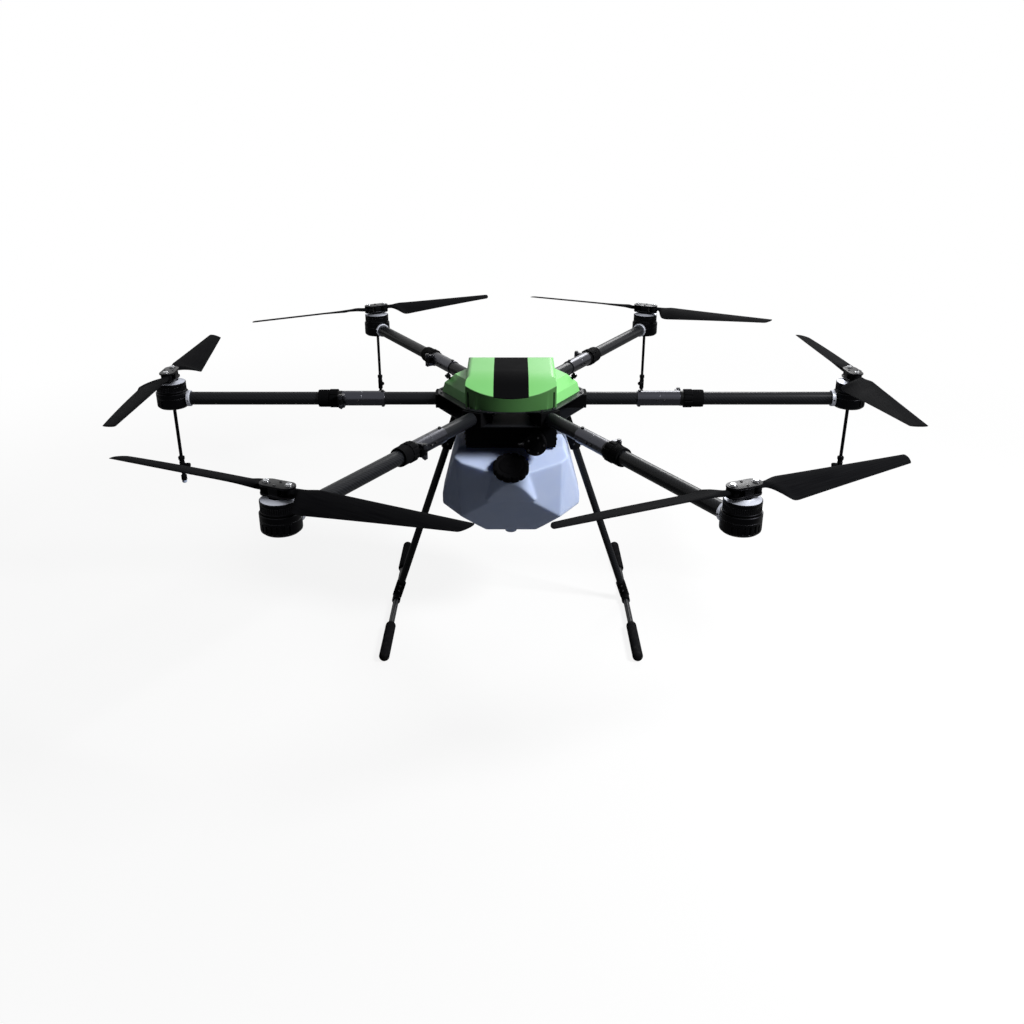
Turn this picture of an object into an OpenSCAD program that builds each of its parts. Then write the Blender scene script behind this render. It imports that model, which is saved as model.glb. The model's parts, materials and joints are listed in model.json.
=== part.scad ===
// Folding six-rotor spraying drone, standing on its skids.
// Origin on the ground under the hub axis, +Z up, the filler cap faces -Y.

/* [Airframe] */
// Distance from the hub axis to each motor axis
motor_circle_r = 915; // [905:5:940]
// Height of the arm axes above the ground
arm_height = 620; // [610:5:640]
// Outside diameter of the carbon arm tubes
arm_tube_d = 35; // [33:0.5:35]
// Wall of the carbon arm tubes
arm_tube_wall = 2; // [1.5:0.5:3]
// Distance from the hub axis to the rounded corners of the hub plates
hub_corner_r = 196; // [194:1:200]
// Thickness of each hub plate
hub_plate_t = 2.5; // [2:0.5:3]
// Height of the arm clamps between the hub plates
hub_gap = 36; // [36:0.5:38]

/* [Fold joint] */
// Distance from the hub axis to the fold pins
fold_r = 456; // [450:1:465]
// Sideways distance from the arm axis to the fold pins
fold_offset = 31; // [31:0.5:33]
// Diameter of the fold pins
fold_pin_d = 6; // [5:0.5:6.5]
// Length of the metal fold socket over the inner tube
socket_l = 115; // [105:1:125]
// Outside diameter of the fold socket
socket_d = 40; // [40:0.5:41]
// Largest diameter of the lock collar
collar_d = 50; // [48:0.5:50]
// Length of the lock collar
collar_l = 52; // [50:1:56]
// Number of finger flutes round the lock collar
collar_flutes = 10; // [8:1:12]

/* [Motor] */
// Diameter of the motor base
base_d = 84; // [82:1:88]
// Diameter of the rotor bell
bell_d = 78; // [76:1:80]
// Height of the rotor bell
bell_h = 29.5; // [28:0.5:30]
// Diameter of the motor shaft
shaft_d = 10; // [8:0.5:12]
// Number of cooling slots round the outer half of the motor base
base_slots = 9; // [5:2:11]

/* [Propeller] */
// Radius of the circle swept by the blade tips
prop_tip_r = 430; // [420:1:432]
// Height of the blade plane above the arm axis
prop_height = 66; // [66:0.5:70]
// Distance from the rotor axis to each blade pivot
blade_pivot_r = 27; // [27:0.5:29]
// Diameter of the blade pivot bolts
pivot_bolt_d = 6; // [5:0.5:6]
// Greatest reach of the trailing edge behind the pivot line
blade_sweep = 66; // [58:1:66]
// Pitch of the blade near its root, in degrees
blade_root_pitch = 18; // [15:1:20]
// Pitch of the blade at its tip, in degrees
blade_tip_pitch = 7; // [5:1:9]

/* [Spray nozzles] */
// Depth of the nozzle tips below the arm axes
nozzle_drop = 246; // [220:1:260]
// Diameter of the nozzle rods
nozzle_rod_d = 9; // [8:0.5:10]

/* [Canopy] */
// Height of the canopy roof above the arm axes
roof_height = 95; // [92:1:98]
// Half width of the raised hood
hood_half_w = 117; // [112:1:118]
// Half width of the dark centre panel
panel_half_w = 45; // [38:1:50]
// Wall of the canopy shell
canopy_wall = 3.5; // [3:0.5:4]

/* [Tank] */
// Half width of the tank at its upright front edges
tank_half_w = 133; // [125:1:136]
// Half width of the tank at its side ridges
tank_ridge = 190; // [180:1:192]
// Reach of the front and rear noses from the tank's middle
tank_nose = 211; // [206:1:214]
// Wall of the tank
tank_wall = 3; // [2.5:0.5:4]
// Diameter of the filler cap
cap_d = 94; // [90:1:96]

/* [Landing gear] */
// Distance between the two skids
skid_spacing = 672; // [640:2:700]
// Length of each skid over its feet
skid_length = 690; // [640:10:720]
// Diameter of the skid tubes
skid_d = 16; // [14:1:18]
// Diameter of the rubber feet
foot_d = 28; // [26:1:30]
// Diameter of the leg tubes
leg_d = 20; // [18:1:22]
// Distance from the middle to the top of each leg
leg_root_x = 137; // [137:1:142]

/* [Hidden] */
$fn = 64;
STATIONS = ["right", "rear_right", "rear_left", "left", "front_left", "front_right"];
ARM_PIECES = ["arm", "motor_base", "lock_collar", "rotor", "blade_a", "blade_b"];
NOZZLE_STATIONS = [0, 1, 2, 3];
// Turn of each propeller from square across its arm, as photographed
PROP_TURN = [4.3, 4.7, -2, -0.8, 5.6, -5.4];
FIXED_PIECES = [
    "hub_plates", "arm_clamps", "inner_tubes", "fold_sockets", "fold_pins",
    "canopy", "canopy_panel", "canopy_knobs", "flight_controller",
    "battery_tray", "battery_pack", "pump", "tank", "tank_hangers", "filler_cap",
    "leg_brackets", "landing_legs", "leg_tees", "skid_tubes", "skid_feet"
];
NODES = concat(
    FIXED_PIECES,
    [for (s = STATIONS) for (p = ARM_PIECES) str(s, "_", p)],
    [for (i = NOZZLE_STATIONS) str(STATIONS[i], "_nozzle")]
);
node = "all";

// Clearances: a seated joint, a running fit and a loose gap
seat = 0.1;
running = 0.05;
loose = 0.4;
over = 1;

carbon = "#1d1f23";
black = "#141518";
satin_black = "#26282c";
alloy = "#c3c8cf";
green = "#7fd06f";
tank_white = "#cdd6e4";
rubber = "#18191b";

tube_r = arm_tube_d / 2;
tube_bore_r = tube_r - arm_tube_wall;
tube_seat_r = tube_r + seat;
plate_top = hub_gap / 2 + hub_plate_t;

// Hub: arm clamps, tray and pump
hub_hex = 1.06;
clamp_in = 146;
clamp_out = hub_corner_r + 8;
clamp_w = 56;
clamp_slot = 1.6;
inner_tube_in = 112;
wiring_hole_d = 50;
tray_half = 118;
tray_wall = 3;
tray_floor = -98;
pack_gap = 3;
handle_half = 40;
handle_reach = 14;
handle_z = [20, 32];
controller = [45, 55, 26];
mast_r = 30;
mast_h = 40;
pump_x = 63;
pump_z = -71;
pump_r = 29;
pump_body_r = 24;
pump_y = [-62, -50, -46, -34];
pump_groove = 2;
pump_port_r = 6;
pump_port_l = 16;

// Fold joint along the arm and across its hinge
socket_in = fold_r - socket_l;
inner_tube_out = socket_in + 60;
socket_step_w = 1.5;
socket_step = 0.8;
ear_r = 6.5;
ear_z = [8, 17];
ear_root = 8;
ear_arm_l = 9;
flange_r = socket_d / 2 + 0.5;
flange_l = 10;
spigot_r = 19.2;
spigot_l = 57;
tube_in = fold_r + 24;
tube_end = motor_circle_r - 15;
collar_in = fold_r + flange_l + 0.6;
collar_step_l = 21;
collar_step = 2;
collar_flute_r = 3;
pin_head_d = 10;
pin_head_h = 3;

// Motor levels above the arm axis
base_bottom = -22;
base_top = 20.5;
base_chamfer = 4;
slot_pitch = 16;
slot_w = 3;
slot_depth = 5;
stator_r = 29;
stator_top = 43;
shaft_bottom = -11;
bell_bottom = base_top + 1;
bell_top = bell_bottom + bell_h;
bell_roof = 5;
bell_wall = 5.5;
bell_chamfer = 3;
bell_boss_r = 15;
blade_root_t = 14;
clamp_plate_t = 4.5;
clamp_plate_r = 19;
clamp_plate_x = 21;
plate_gap = 0.5;
clamp_block = 11;
lower_plate = prop_height - blade_root_t / 2 - plate_gap - clamp_plate_t;
upper_plate = prop_height + blade_root_t / 2 + plate_gap;
bolt_head_r = 6;
bolt_head_h = 4.5;

// Blade planform, measured from its pivot
blade_start = 7;
blade_end = prop_tip_r - blade_pivot_r;
blade_root_r = 13.5;
blade_stations = 16;
station_ease = 1.5;
lead_root = 10;
lead_mid = 20;
lead_tip = 13;
trail_root = 10;
trail_tip = 24;
lead_ramp = 0.14;
trail_ramp = [0.025, 0.11];
pitch_ramp = 0.15;
tip_rake = 16;
thick_root = 12;
thick_mid = 6;
thick_tip = 2.4;
// Blade section, leading to trailing edge: [share of chord, height over half thickness]
SECTION = [
    [0, 0], [0.07, 0.62], [0.28, 1], [0.6, 0.8], [1, 0.18],
    [1, -0.18], [0.6, -0.5], [0.28, -0.75], [0.07, -0.5]
];

// Spray nozzle, heights above its tip
nozzle_tip_l = 24;
nozzle_tip_r = 8;
nozzle_waist_r = 5;
nozzle_body_z = [30, 70];
nozzle_body_r = 7.5;
nozzle_nut_l = 9;
nozzle_nut_r = 9;
valve_z = 52;
valve_l = 22;
valve_r = 6;

// Canopy levels above the arm axis
skirt_z = plate_top;
skirt_r = 185;
wall_top_z = 45;
wall_top_r = 178;
shoulder_z = 68;
shoulder_r = 150;
fascia_r = 182;
roof_front = -98;
roof_rear = 75;
hood_fall = 0.459;
hood_round = 14;
panel_depth = 1.6;
knob_r = 7;
knob_l = 14;
knob_neck_r = 4;
knob_sink = 1.6;

// Tank levels below the arm axis, and the slopes of its front facets
tank_top = -101;
tank_ridge_z = [-262, -292];
tank_chamfer_z = -324;
tank_bottom = -342;
tank_corner = [146, -286];
tank_brow = [146, -120];
brow_tilt = 24.3;
under_lean = 32.3;
tank_edge_r = 5;
neck_y = -184;
neck_z = brow_z(-neck_y);
neck_boss_r = 46;
neck_boss_l = 78;
neck_boss_rise = 1.5;
neck_r = 41;
neck_bore_r = 36;
neck_h = 15;
neck_root_l = 12;
neck_bore_l = 40;
cap_h = 21;
cap_roof = 5;
cap_flutes = 12;
cap_flute_r = 6.5;
cap_foot = neck_boss_rise + 2 * loose;
hanger_y = [-92, 68];
hanger_w = 24;
hanger_t = 3;
hanger_top = -60;
hanger_foot = 20;

// Landing gear
foot_flat = 1;
foot_l = 175;
skid_z = foot_d / 2 - foot_flat;
skid_x = skid_spacing / 2;
leg_top_z = arm_height - plate_top;
leg_lean = atan2(skid_x - leg_root_x, leg_top_z - skid_z);
leg_run = norm([skid_x - leg_root_x, leg_top_z - skid_z]);
bracket_l = 128;
bracket_wall = 5;
bracket_foot = [28, 26, 5];
bracket_bolt_r = 6;
bracket_bolt_l = 18;
tee_l = 64;
tee_wall = 4;
tee_socket_l = 48;
leg_bottom_gap = 14;

function smooth(t) = let (c = min(max(t, 0), 1)) c * c * (3 - 2 * c);
function mix(a, b, t) = a + (b - a) * min(max(t, 0), 1);

module at_hub() {
    translate([0, 0, arm_height]) children();
}

// +X runs out along the arm, from the hub axis
module at_arm(i) {
    at_hub() rotate([0, 0, 60 * i]) children();
}

module at_motor(i) {
    at_arm(i) translate([motor_circle_r, 0, 0]) children();
}

// +X runs along a propeller at rest
module at_prop(i) {
    at_motor(i) rotate([0, 0, 90 + PROP_TURN[i]]) children();
}

// A rod or bore along X, from one distance to another
module along_x(from, to, r) {
    translate([from, 0, 0]) rotate([0, 90, 0]) cylinder(r = r, h = to - from);
}

// A rod or bore along Y, from one distance to another
module along_y(from, to, r) {
    translate([0, from, 0]) rotate([-90, 0, 0]) cylinder(r = r, h = to - from);
}

module upright(from, to, r) {
    translate([0, 0, from]) cylinder(r = r, h = to - from);
}

// A box given by its low and high corners
module block(low, high) {
    translate(low) cube(high - low);
}

module hub_plates() {
    color(carbon) at_hub() for (z = [hub_gap / 2, -plate_top]) difference() {
        intersection() {
            translate([0, 0, z]) cylinder(r = hub_corner_r * hub_hex, h = hub_plate_t, $fn = 6);
            upright(z, z + hub_plate_t, hub_corner_r);
        }
        upright(z - over, z + hub_plate_t + over, wiring_hole_d / 2);
    }
}

// Pinch clamps that hold the inner tubes between the hub plates
module arm_clamps() {
    color(black) for (i = [0:5]) at_arm(i) difference() {
        intersection() {
            block([clamp_in, -clamp_w / 2, -hub_gap / 2], [clamp_out, clamp_w / 2, hub_gap / 2]);
            upright(-hub_gap, hub_gap, clamp_out);
        }
        along_x(clamp_in - over, clamp_out + over, tube_seat_r);
        block([clamp_in - over, 0, -clamp_slot / 2], [clamp_out + over, clamp_w, clamp_slot / 2]);
    }
}

module inner_tubes() {
    color(carbon) for (i = [0:5]) at_arm(i) difference() {
        along_x(inner_tube_in, inner_tube_out, tube_r);
        along_x(inner_tube_in - over, inner_tube_out + over, tube_bore_r);
    }
}

// Upper and lower hinge ears of the fixed socket
module socket_ears() {
    for (side = [0, 1]) mirror([0, 0, side]) {
        translate([fold_r, fold_offset, 0]) upright(ear_z[0], ear_z[1], ear_r);
        block([fold_r - loose - ear_arm_l, ear_root, ear_z[0]], [fold_r - loose, fold_offset, ear_z[1]]);
    }
}

module fold_sockets() {
    color(alloy) for (i = [0:5]) at_arm(i) difference() {
        union() {
            along_x(socket_in, fold_r - loose, socket_d / 2);
            socket_ears();
        }
        along_x(socket_in - over, inner_tube_out + seat, tube_seat_r);
        along_x(socket_in, fold_r, tube_bore_r);
        translate([fold_r, fold_offset, 0]) upright(-socket_d, socket_d, fold_pin_d / 2 + running);
        difference() {
            along_x(inner_tube_out, inner_tube_out + socket_step_w, socket_d);
            along_x(inner_tube_out - over, inner_tube_out + socket_step_w + over, socket_d / 2 - socket_step);
        }
    }
}

module fold_pins() {
    color(satin_black) for (i = [0:5]) at_arm(i) translate([fold_r, fold_offset, 0]) {
        upright(-ear_z[1] - pin_head_h, ear_z[1] + seat, fold_pin_d / 2);
        upright(ear_z[1] + seat, ear_z[1] + pin_head_h, pin_head_d / 2);
    }
}

// Outer arm: carbon tube bonded into the knuckle of the fold joint
module folding_arm() {
    color(carbon) difference() {
        union() {
            along_x(fold_r + loose, fold_r + flange_l, flange_r);
            along_x(fold_r + flange_l, fold_r + spigot_l, spigot_r);
            along_x(tube_in, tube_end, tube_r);
            translate([fold_r, fold_offset, 0]) upright(-ear_z[0] + loose, ear_z[0] - loose, ear_r);
            block(
                [fold_r + loose, ear_root, -ear_z[0] + loose],
                [fold_r + loose + ear_arm_l, fold_offset, ear_z[0] - loose]
            );
        }
        along_x(fold_r, tube_end + over, tube_bore_r);
        translate([fold_r, fold_offset, 0]) upright(-socket_d, socket_d, fold_pin_d / 2 + running);
    }
}

// Two-step lock collar, turning on the knuckle's spigot
module lock_collar() {
    lip = fold_r + spigot_l + loose;
    collar_out = collar_in + collar_l;
    color(black) difference() {
        union() {
            along_x(collar_in, collar_in + collar_step_l, collar_d / 2);
            along_x(collar_in, collar_out, collar_d / 2 - collar_step);
        }
        along_x(collar_in - over, lip, spigot_r + loose);
        along_x(collar_in, collar_out + over, tube_r + loose);
        for (k = [1:collar_flutes]) rotate([k * 360 / collar_flutes, 0, 0])
            translate([0, collar_d / 2 + 1.2, 0])
                along_x(collar_in - over, collar_in + collar_step_l, collar_flute_r);
    }
}

// Round base cup that the arm tube runs into, with the stator on top
module motor_base() {
    r = base_d / 2;
    color(black) difference() {
        union() {
            rotate_extrude() polygon([
                [0, base_bottom], [r - base_chamfer, base_bottom], [r, base_bottom + base_chamfer],
                [r, base_top - 1], [r - 1, base_top], [0, base_top]
            ]);
            upright(base_top - over, stator_top, stator_r);
        }
        along_x(-r - over, tube_end - motor_circle_r + seat, tube_seat_r);
        upright(shaft_bottom - 1, stator_top + over, shaft_d / 2 + running);
        for (k = [0:base_slots - 1]) rotate([0, 0, (k - (base_slots - 1) / 2) * slot_pitch])
            block([r - slot_depth, -slot_w / 2, base_bottom + 8], [r + over, slot_w / 2, base_top - 6]);
    }
}

// Slot-shaped plate of the prop clamp
module clamp_plate(z) {
    for (s = [-1, 1]) translate([s * clamp_plate_x, 0, 0]) upright(z, z + clamp_plate_t, clamp_plate_r);
    block([-clamp_plate_x, -clamp_plate_r, z], [clamp_plate_x, clamp_plate_r, z + clamp_plate_t]);
}

// Motor bell and shaft with the prop clamp bolted on top
module rotor() {
    r = bell_d / 2;
    color(satin_black) {
        rotate_extrude() polygon([
            [0, shaft_bottom], [shaft_d / 2, shaft_bottom], [shaft_d / 2, bell_top - bell_roof],
            [r - bell_wall, bell_top - bell_roof], [r - bell_wall, bell_bottom], [r, bell_bottom],
            [r, bell_top - bell_chamfer], [r - bell_chamfer, bell_top], [0, bell_top]
        ]);
        upright(bell_top - over, lower_plate + over, bell_boss_r);
        clamp_plate(lower_plate);
        clamp_plate(upper_plate);
        block(
            [-clamp_block, -clamp_plate_r, lower_plate],
            [clamp_block, clamp_plate_r, upper_plate + clamp_plate_t]
        );
        for (s = [-1, 1]) translate([s * blade_pivot_r, 0, 0]) {
            upright(lower_plate, upper_plate + over, pivot_bolt_d / 2);
            upright(upper_plate, upper_plate + clamp_plate_t + bolt_head_h, bolt_head_r);
        }
    }
}

// Edges, pitch and thickness of the blade at a share t of its span
function lead_edge(t) = mix(lead_root, lead_mid, smooth(t / lead_ramp))
    + (lead_tip - lead_mid) * max(t - lead_ramp, 0) / (1 - lead_ramp);
function trail_edge(t) =
    let (spread = smooth((t - trail_ramp[0]) / (trail_ramp[1] - trail_ramp[0])))
    mix(trail_root, mix(blade_sweep, trail_tip, t), spread);
function blade_pitch(t) = mix(blade_root_pitch, blade_tip_pitch, t) * smooth(t / pitch_ramp);
function blade_thick(t) = mix(mix(thick_root, thick_mid, smooth(t / 0.3)), thick_tip, t);
function blade_point(t, p) =
    let (
        across = mix(lead_edge(t), -trail_edge(t), p[0]),
        up = p[1] * blade_thick(t) / 2,
        a = blade_pitch(t)
    )
    [
        mix(blade_start, blade_end, t) - tip_rake * p[0] * pow(t, 4),
        across * cos(a) - up * sin(a),
        across * sin(a) + up * cos(a)
    ];

// Twisted blade lofted through its sections, pointing along +X with its leading edge towards +Y
module blade_loft() {
    n = len(SECTION);
    last = blade_stations - 1;
    points = [for (k = [0:last]) for (p = SECTION) blade_point(pow(k / last, station_ease), p)];
    skin = [
        for (k = [0:last - 1]) for (j = [0:n - 1]) let (a = k * n + j, b = k * n + (j + 1) % n)
            each [[a, b + n, b], [a, a + n, b + n]]
    ];
    caps = [for (j = [1:n - 2]) each [[0, j, j + 1], [last * n, last * n + j + 1, last * n + j]]];
    polyhedron(points = points, faces = concat(skin, caps));
}

module blade() {
    color(carbon) difference() {
        union() {
            translate([0, 0, prop_height]) blade_loft();
            upright(prop_height - blade_root_t / 2, prop_height + blade_root_t / 2, blade_root_r);
        }
        upright(0, 2 * prop_height, pivot_bolt_d / 2 + running);
    }
}

// Places a blade on its pivot; side 1 and -1 are the two blades of a rotor
module on_pivot(side) {
    rotate([0, 0, 90 - side * 90]) translate([blade_pivot_r, 0, 0]) children();
}

// Spray rod with its compression nut, nozzle body, check valve and tip
module nozzle() {
    color(black) translate([0, 0, -nozzle_drop]) {
        upright(nozzle_body_z[0] + nozzle_tip_l, nozzle_drop + base_bottom, nozzle_rod_d / 2);
        translate([0, 0, nozzle_body_z[1] - over]) cylinder(r = nozzle_nut_r, h = nozzle_nut_l, $fn = 6);
        upright(nozzle_body_z[0], nozzle_body_z[1], nozzle_body_r);
        upright(nozzle_tip_l - over, nozzle_body_z[0] + over, nozzle_waist_r);
        upright(0, nozzle_tip_l, nozzle_tip_r);
        translate([0, 0, valve_z]) along_x(-valve_l, 0, valve_r);
    }
}

// Six-sided shoulder of the canopy, drawn in by a wall thickness
module canopy_tiers(inset) {
    hex_inset = inset / cos(30);
    translate([0, 0, skirt_z]) cylinder(
        r1 = skirt_r - hex_inset, r2 = wall_top_r - hex_inset, h = wall_top_z - skirt_z, $fn = 6
    );
    translate([0, 0, wall_top_z]) cylinder(
        r1 = wall_top_r - hex_inset, r2 = shoulder_r - hex_inset, h = shoulder_z - wall_top_z - inset, $fn = 6
    );
}

// Raised hood: a rounded band with a level roof that falls to a curved front and rear
module canopy_hood(inset) {
    half_w = hood_half_w - inset;
    top = roof_height - inset;
    reach = fascia_r + over;
    intersection() {
        rotate([90, 0, 0]) linear_extrude(2 * reach, center = true) {
            translate([-half_w, skirt_z]) square([2 * half_w, top - hood_round - skirt_z]);
            translate([hood_round - half_w, skirt_z]) square([2 * (half_w - hood_round), top - skirt_z]);
            for (s = [-1, 1]) translate([s * (half_w - hood_round), top - hood_round]) circle(hood_round);
        }
        rotate([90, 0, 90]) linear_extrude(2 * half_w, center = true) polygon([
            [-reach, skirt_z], [reach, skirt_z],
            [reach, top - (reach - roof_rear) * hood_fall], [roof_rear, top],
            [roof_front, top], [-reach, top - (reach + roof_front) * hood_fall]
        ]);
        upright(skirt_z, roof_height, fascia_r - inset);
    }
}

// Top layer of the hood along its middle, where the dark panel lies
module panel_layer(half_w) {
    intersection() {
        difference() {
            canopy_hood(0);
            translate([0, 0, -panel_depth]) canopy_hood(0);
        }
        block([-half_w, -skirt_r, skirt_z + panel_depth], [half_w, skirt_r, roof_height + over]);
    }
}

// +Z out of the slanted corner ridges on the right and left
module at_knobs() {
    lean = atan2(shoulder_z - wall_top_z, wall_top_r - shoulder_r);
    middle = [(wall_top_r + shoulder_r) / 2, 0, (wall_top_z + shoulder_z) / 2];
    for (a = [0, 180]) rotate([0, 0, a]) translate(middle) rotate([0, lean, 0]) children();
}

module canopy() {
    color(green) at_hub() difference() {
        union() {
            canopy_tiers(0);
            canopy_hood(0);
        }
        canopy_tiers(canopy_wall);
        canopy_hood(canopy_wall);
        panel_layer(panel_half_w + seat);
        at_knobs() upright(-knob_sink, knob_l, knob_neck_r + loose);
    }
}

module canopy_panel() {
    color(satin_black) at_hub() panel_layer(panel_half_w);
}

// Thumb knobs that hold the canopy down, sunk into its corners
module canopy_knobs() {
    color(black) at_hub() at_knobs() {
        upright(-knob_sink, 3, knob_neck_r);
        upright(3, knob_l, knob_r);
    }
}

module flight_controller() {
    color(satin_black) at_hub() {
        block(
            [-controller[0], -controller[1], plate_top],
            [controller[0], controller[1], plate_top + controller[2]]
        );
        upright(plate_top + controller[2] - over, plate_top + mast_h, mast_r);
    }
}

// Tray under the hub, open at the rear for the battery
module battery_tray() {
    inner = tray_half - tray_wall;
    color(black) at_hub() difference() {
        block([-tray_half, -tray_half, tray_floor], [tray_half, tray_half, -plate_top]);
        block([-inner, -inner, tray_floor + tray_wall], [inner, tray_half + over, -plate_top + over]);
    }
}

module battery_pack() {
    half = tray_half - tray_wall - pack_gap;
    low = tray_floor + tray_wall + loose;
    color(satin_black) at_hub() {
        block([-half, -half, low], [half, tray_half, -plate_top - pack_gap]);
        block(
            [-handle_half, tray_half - over, low + handle_z[0]],
            [handle_half, tray_half + handle_reach, low + handle_z[1]]
        );
    }
}

// Pump with its head to the front, on the tray's front wall
module pump() {
    color(black) at_hub() translate([pump_x, -tray_half, pump_z]) {
        along_y(pump_y[3] - over, 0, pump_body_r);
        along_y(pump_y[2], pump_y[3], pump_r);
        along_y(pump_y[1] - over, pump_y[2] + over, pump_r - pump_groove);
        along_y(pump_y[0], pump_y[1], pump_r);
        translate([0, (pump_y[1] + pump_y[2]) / 2, 0]) along_x(-pump_r - pump_port_l, 0, pump_port_r);
    }
}

// Height of the sloping brow facet, and of the facet under the nose, at a distance from the middle
function brow_z(y) = tank_brow[1] - (y - tank_brow[0]) * tan(brow_tilt);
function under_z(y) = tank_corner[1] + (y - tank_corner[0]) / tan(under_lean);

// Corner points of one quarter of the tank, in front and on the right
function tank_quarter(inset) = let (k = inset * 1.25) [
    [140 - k, -104 + k, tank_top - inset],
    [150 - k, -140 + k, brow_z(140) - inset],
    [tank_half_w - k, -157 + k, brow_z(157) - inset],
    [0, -tank_nose + k, brow_z(tank_nose) - inset],
    [0, -tank_nose + k, under_z(tank_nose) + inset],
    [tank_half_w - k, -tank_corner[0] + k, tank_corner[1]],
    [tank_ridge - k, -40, tank_ridge_z[0]],
    [tank_ridge - k, -40, tank_ridge_z[1]],
    [89 - k, -122 + k, tank_chamfer_z + inset],
    [67 - k, -110 + k, tank_bottom + inset]
];

// Faceted form of the tank with rounded edges, drawn in by a wall thickness
module tank_form(wall) {
    hull() for (sx = [-1, 1]) for (sy = [-1, 1]) for (p = tank_quarter(tank_edge_r + wall))
        translate([sx * p[0], sy * p[1], p[2]]) sphere(r = tank_edge_r, $fn = 10);
}

// +Z out of the filler neck, from the brow facet
module at_neck() {
    at_hub() translate([0, neck_y, neck_z]) rotate([brow_tilt, 0, 0]) children();
}

// Round boss that carries the neck, cut off along the facet under the nose
module neck_boss() {
    difference() {
        at_neck() upright(-neck_boss_l, neck_boss_rise, neck_boss_r);
        at_hub() translate([0, -tank_corner[0], tank_corner[1]]) rotate([under_lean, 0, 0])
            block([-tank_ridge, -tank_ridge, -tank_ridge], [tank_ridge, -0.5, 2 * tank_ridge]);
    }
}

module tank() {
    color(tank_white) difference() {
        union() {
            at_hub() tank_form(0);
            neck_boss();
            at_neck() upright(-neck_root_l, neck_h, neck_r);
        }
        at_hub() tank_form(tank_wall);
        at_neck() upright(-neck_bore_l, neck_h + over, neck_bore_r);
    }
}

module filler_cap() {
    r = cap_d / 2;
    color(black) at_neck() difference() {
        upright(cap_foot, neck_h + loose + cap_roof, r);
        upright(0, neck_h + loose, neck_r + loose);
        for (k = [1:cap_flutes]) rotate([0, 0, k * 360 / cap_flutes])
            translate([r + 4, 0, 0]) upright(0, cap_h + over, cap_flute_r);
    }
}

// Angle brackets from the tray's sides to the tank's top
module tank_hangers() {
    color(black) at_hub() for (sx = [0, 1]) mirror([sx, 0, 0]) for (y = hanger_y) {
        block([tray_half, y, tank_top], [tray_half + hanger_t, y + hanger_w, hanger_top]);
        block([tray_half - hanger_foot, y, tank_top], [tray_half + hanger_t, y + hanger_w, tray_floor]);
    }
}

// +Z runs up the leg from the skid axis; side 1 is the right leg
module at_leg(side) {
    translate([side * skid_x, 0, skid_z]) rotate([0, -side * leg_lean, 0]) children();
}

module leg_brackets() {
    r = leg_d / 2 + bracket_wall;
    color(black) for (side = [-1, 1]) difference() {
        union() {
            intersection() {
                at_leg(side) upright(leg_run - bracket_l, leg_run + 2 * r, r);
                block([-skid_x, -r, 0], [skid_x, r, leg_top_z]);
            }
            translate([side * (leg_root_x + 11), 0, 0]) block(
                [-bracket_foot[0], -bracket_foot[1], leg_top_z - bracket_foot[2]],
                [bracket_foot[0], bracket_foot[1], leg_top_z]
            );
            at_leg(side) translate([side * r, 0, leg_run - bracket_l + 12]) 
                along_y(-bracket_bolt_l / 2, bracket_bolt_l / 2, bracket_bolt_r);
        }
        at_leg(side) upright(0, leg_run - 14, leg_d / 2 + seat);
    }
}

module landing_legs() {
    color(carbon) for (side = [-1, 1]) at_leg(side) difference() {
        upright(leg_bottom_gap, leg_run - 16, leg_d / 2);
        upright(0, leg_run, leg_d / 2 - 1.5);
    }
}

module leg_tees() {
    color(black) for (side = [-1, 1]) difference() {
        union() {
            at_leg(side) upright(0, tee_socket_l, leg_d / 2 + tee_wall - 0.5);
            translate([side * skid_x, 0, skid_z]) along_y(-tee_l / 2, tee_l / 2, skid_d / 2 + tee_wall);
        }
        at_leg(side) upright(leg_bottom_gap - seat, tee_socket_l + over, leg_d / 2 + seat);
        translate([side * skid_x, 0, skid_z]) along_y(-tee_l, tee_l, skid_d / 2 + seat);
    }
}

module skid_tubes() {
    half = skid_length / 2 - 20;
    color(carbon) for (side = [-1, 1]) translate([side * skid_x, 0, skid_z]) difference() {
        along_y(-half, half, skid_d / 2);
        along_y(-half - over, half + over, skid_d / 2 - 1.5);
    }
}

// Rubber foot over a skid end, with a flat tread and a rounded nose
module skid_foot() {
    r = foot_d / 2;
    out = skid_length / 2;
    difference() {
        rotate([-90, 0, 0]) rotate_extrude() polygon([
            [0, out - foot_l], [r - 3, out - foot_l], [r, out - foot_l + 5], [r, out - 9],
            [r - 3, out - 3], [r - 7, out], [0, out]
        ]);
        along_y(0, out - 20 + seat, skid_d / 2 + seat);
        block([-r, 0, -foot_d], [r, out + over, foot_flat - r]);
    }
}

module skid_feet() {
    color(rubber) for (x = [-skid_x, skid_x]) translate([x, 0, skid_z])
        for (end = [0, 1]) mirror([0, end, 0]) skid_foot();
}

function shown(name) = node == "all" || node == name;

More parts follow.
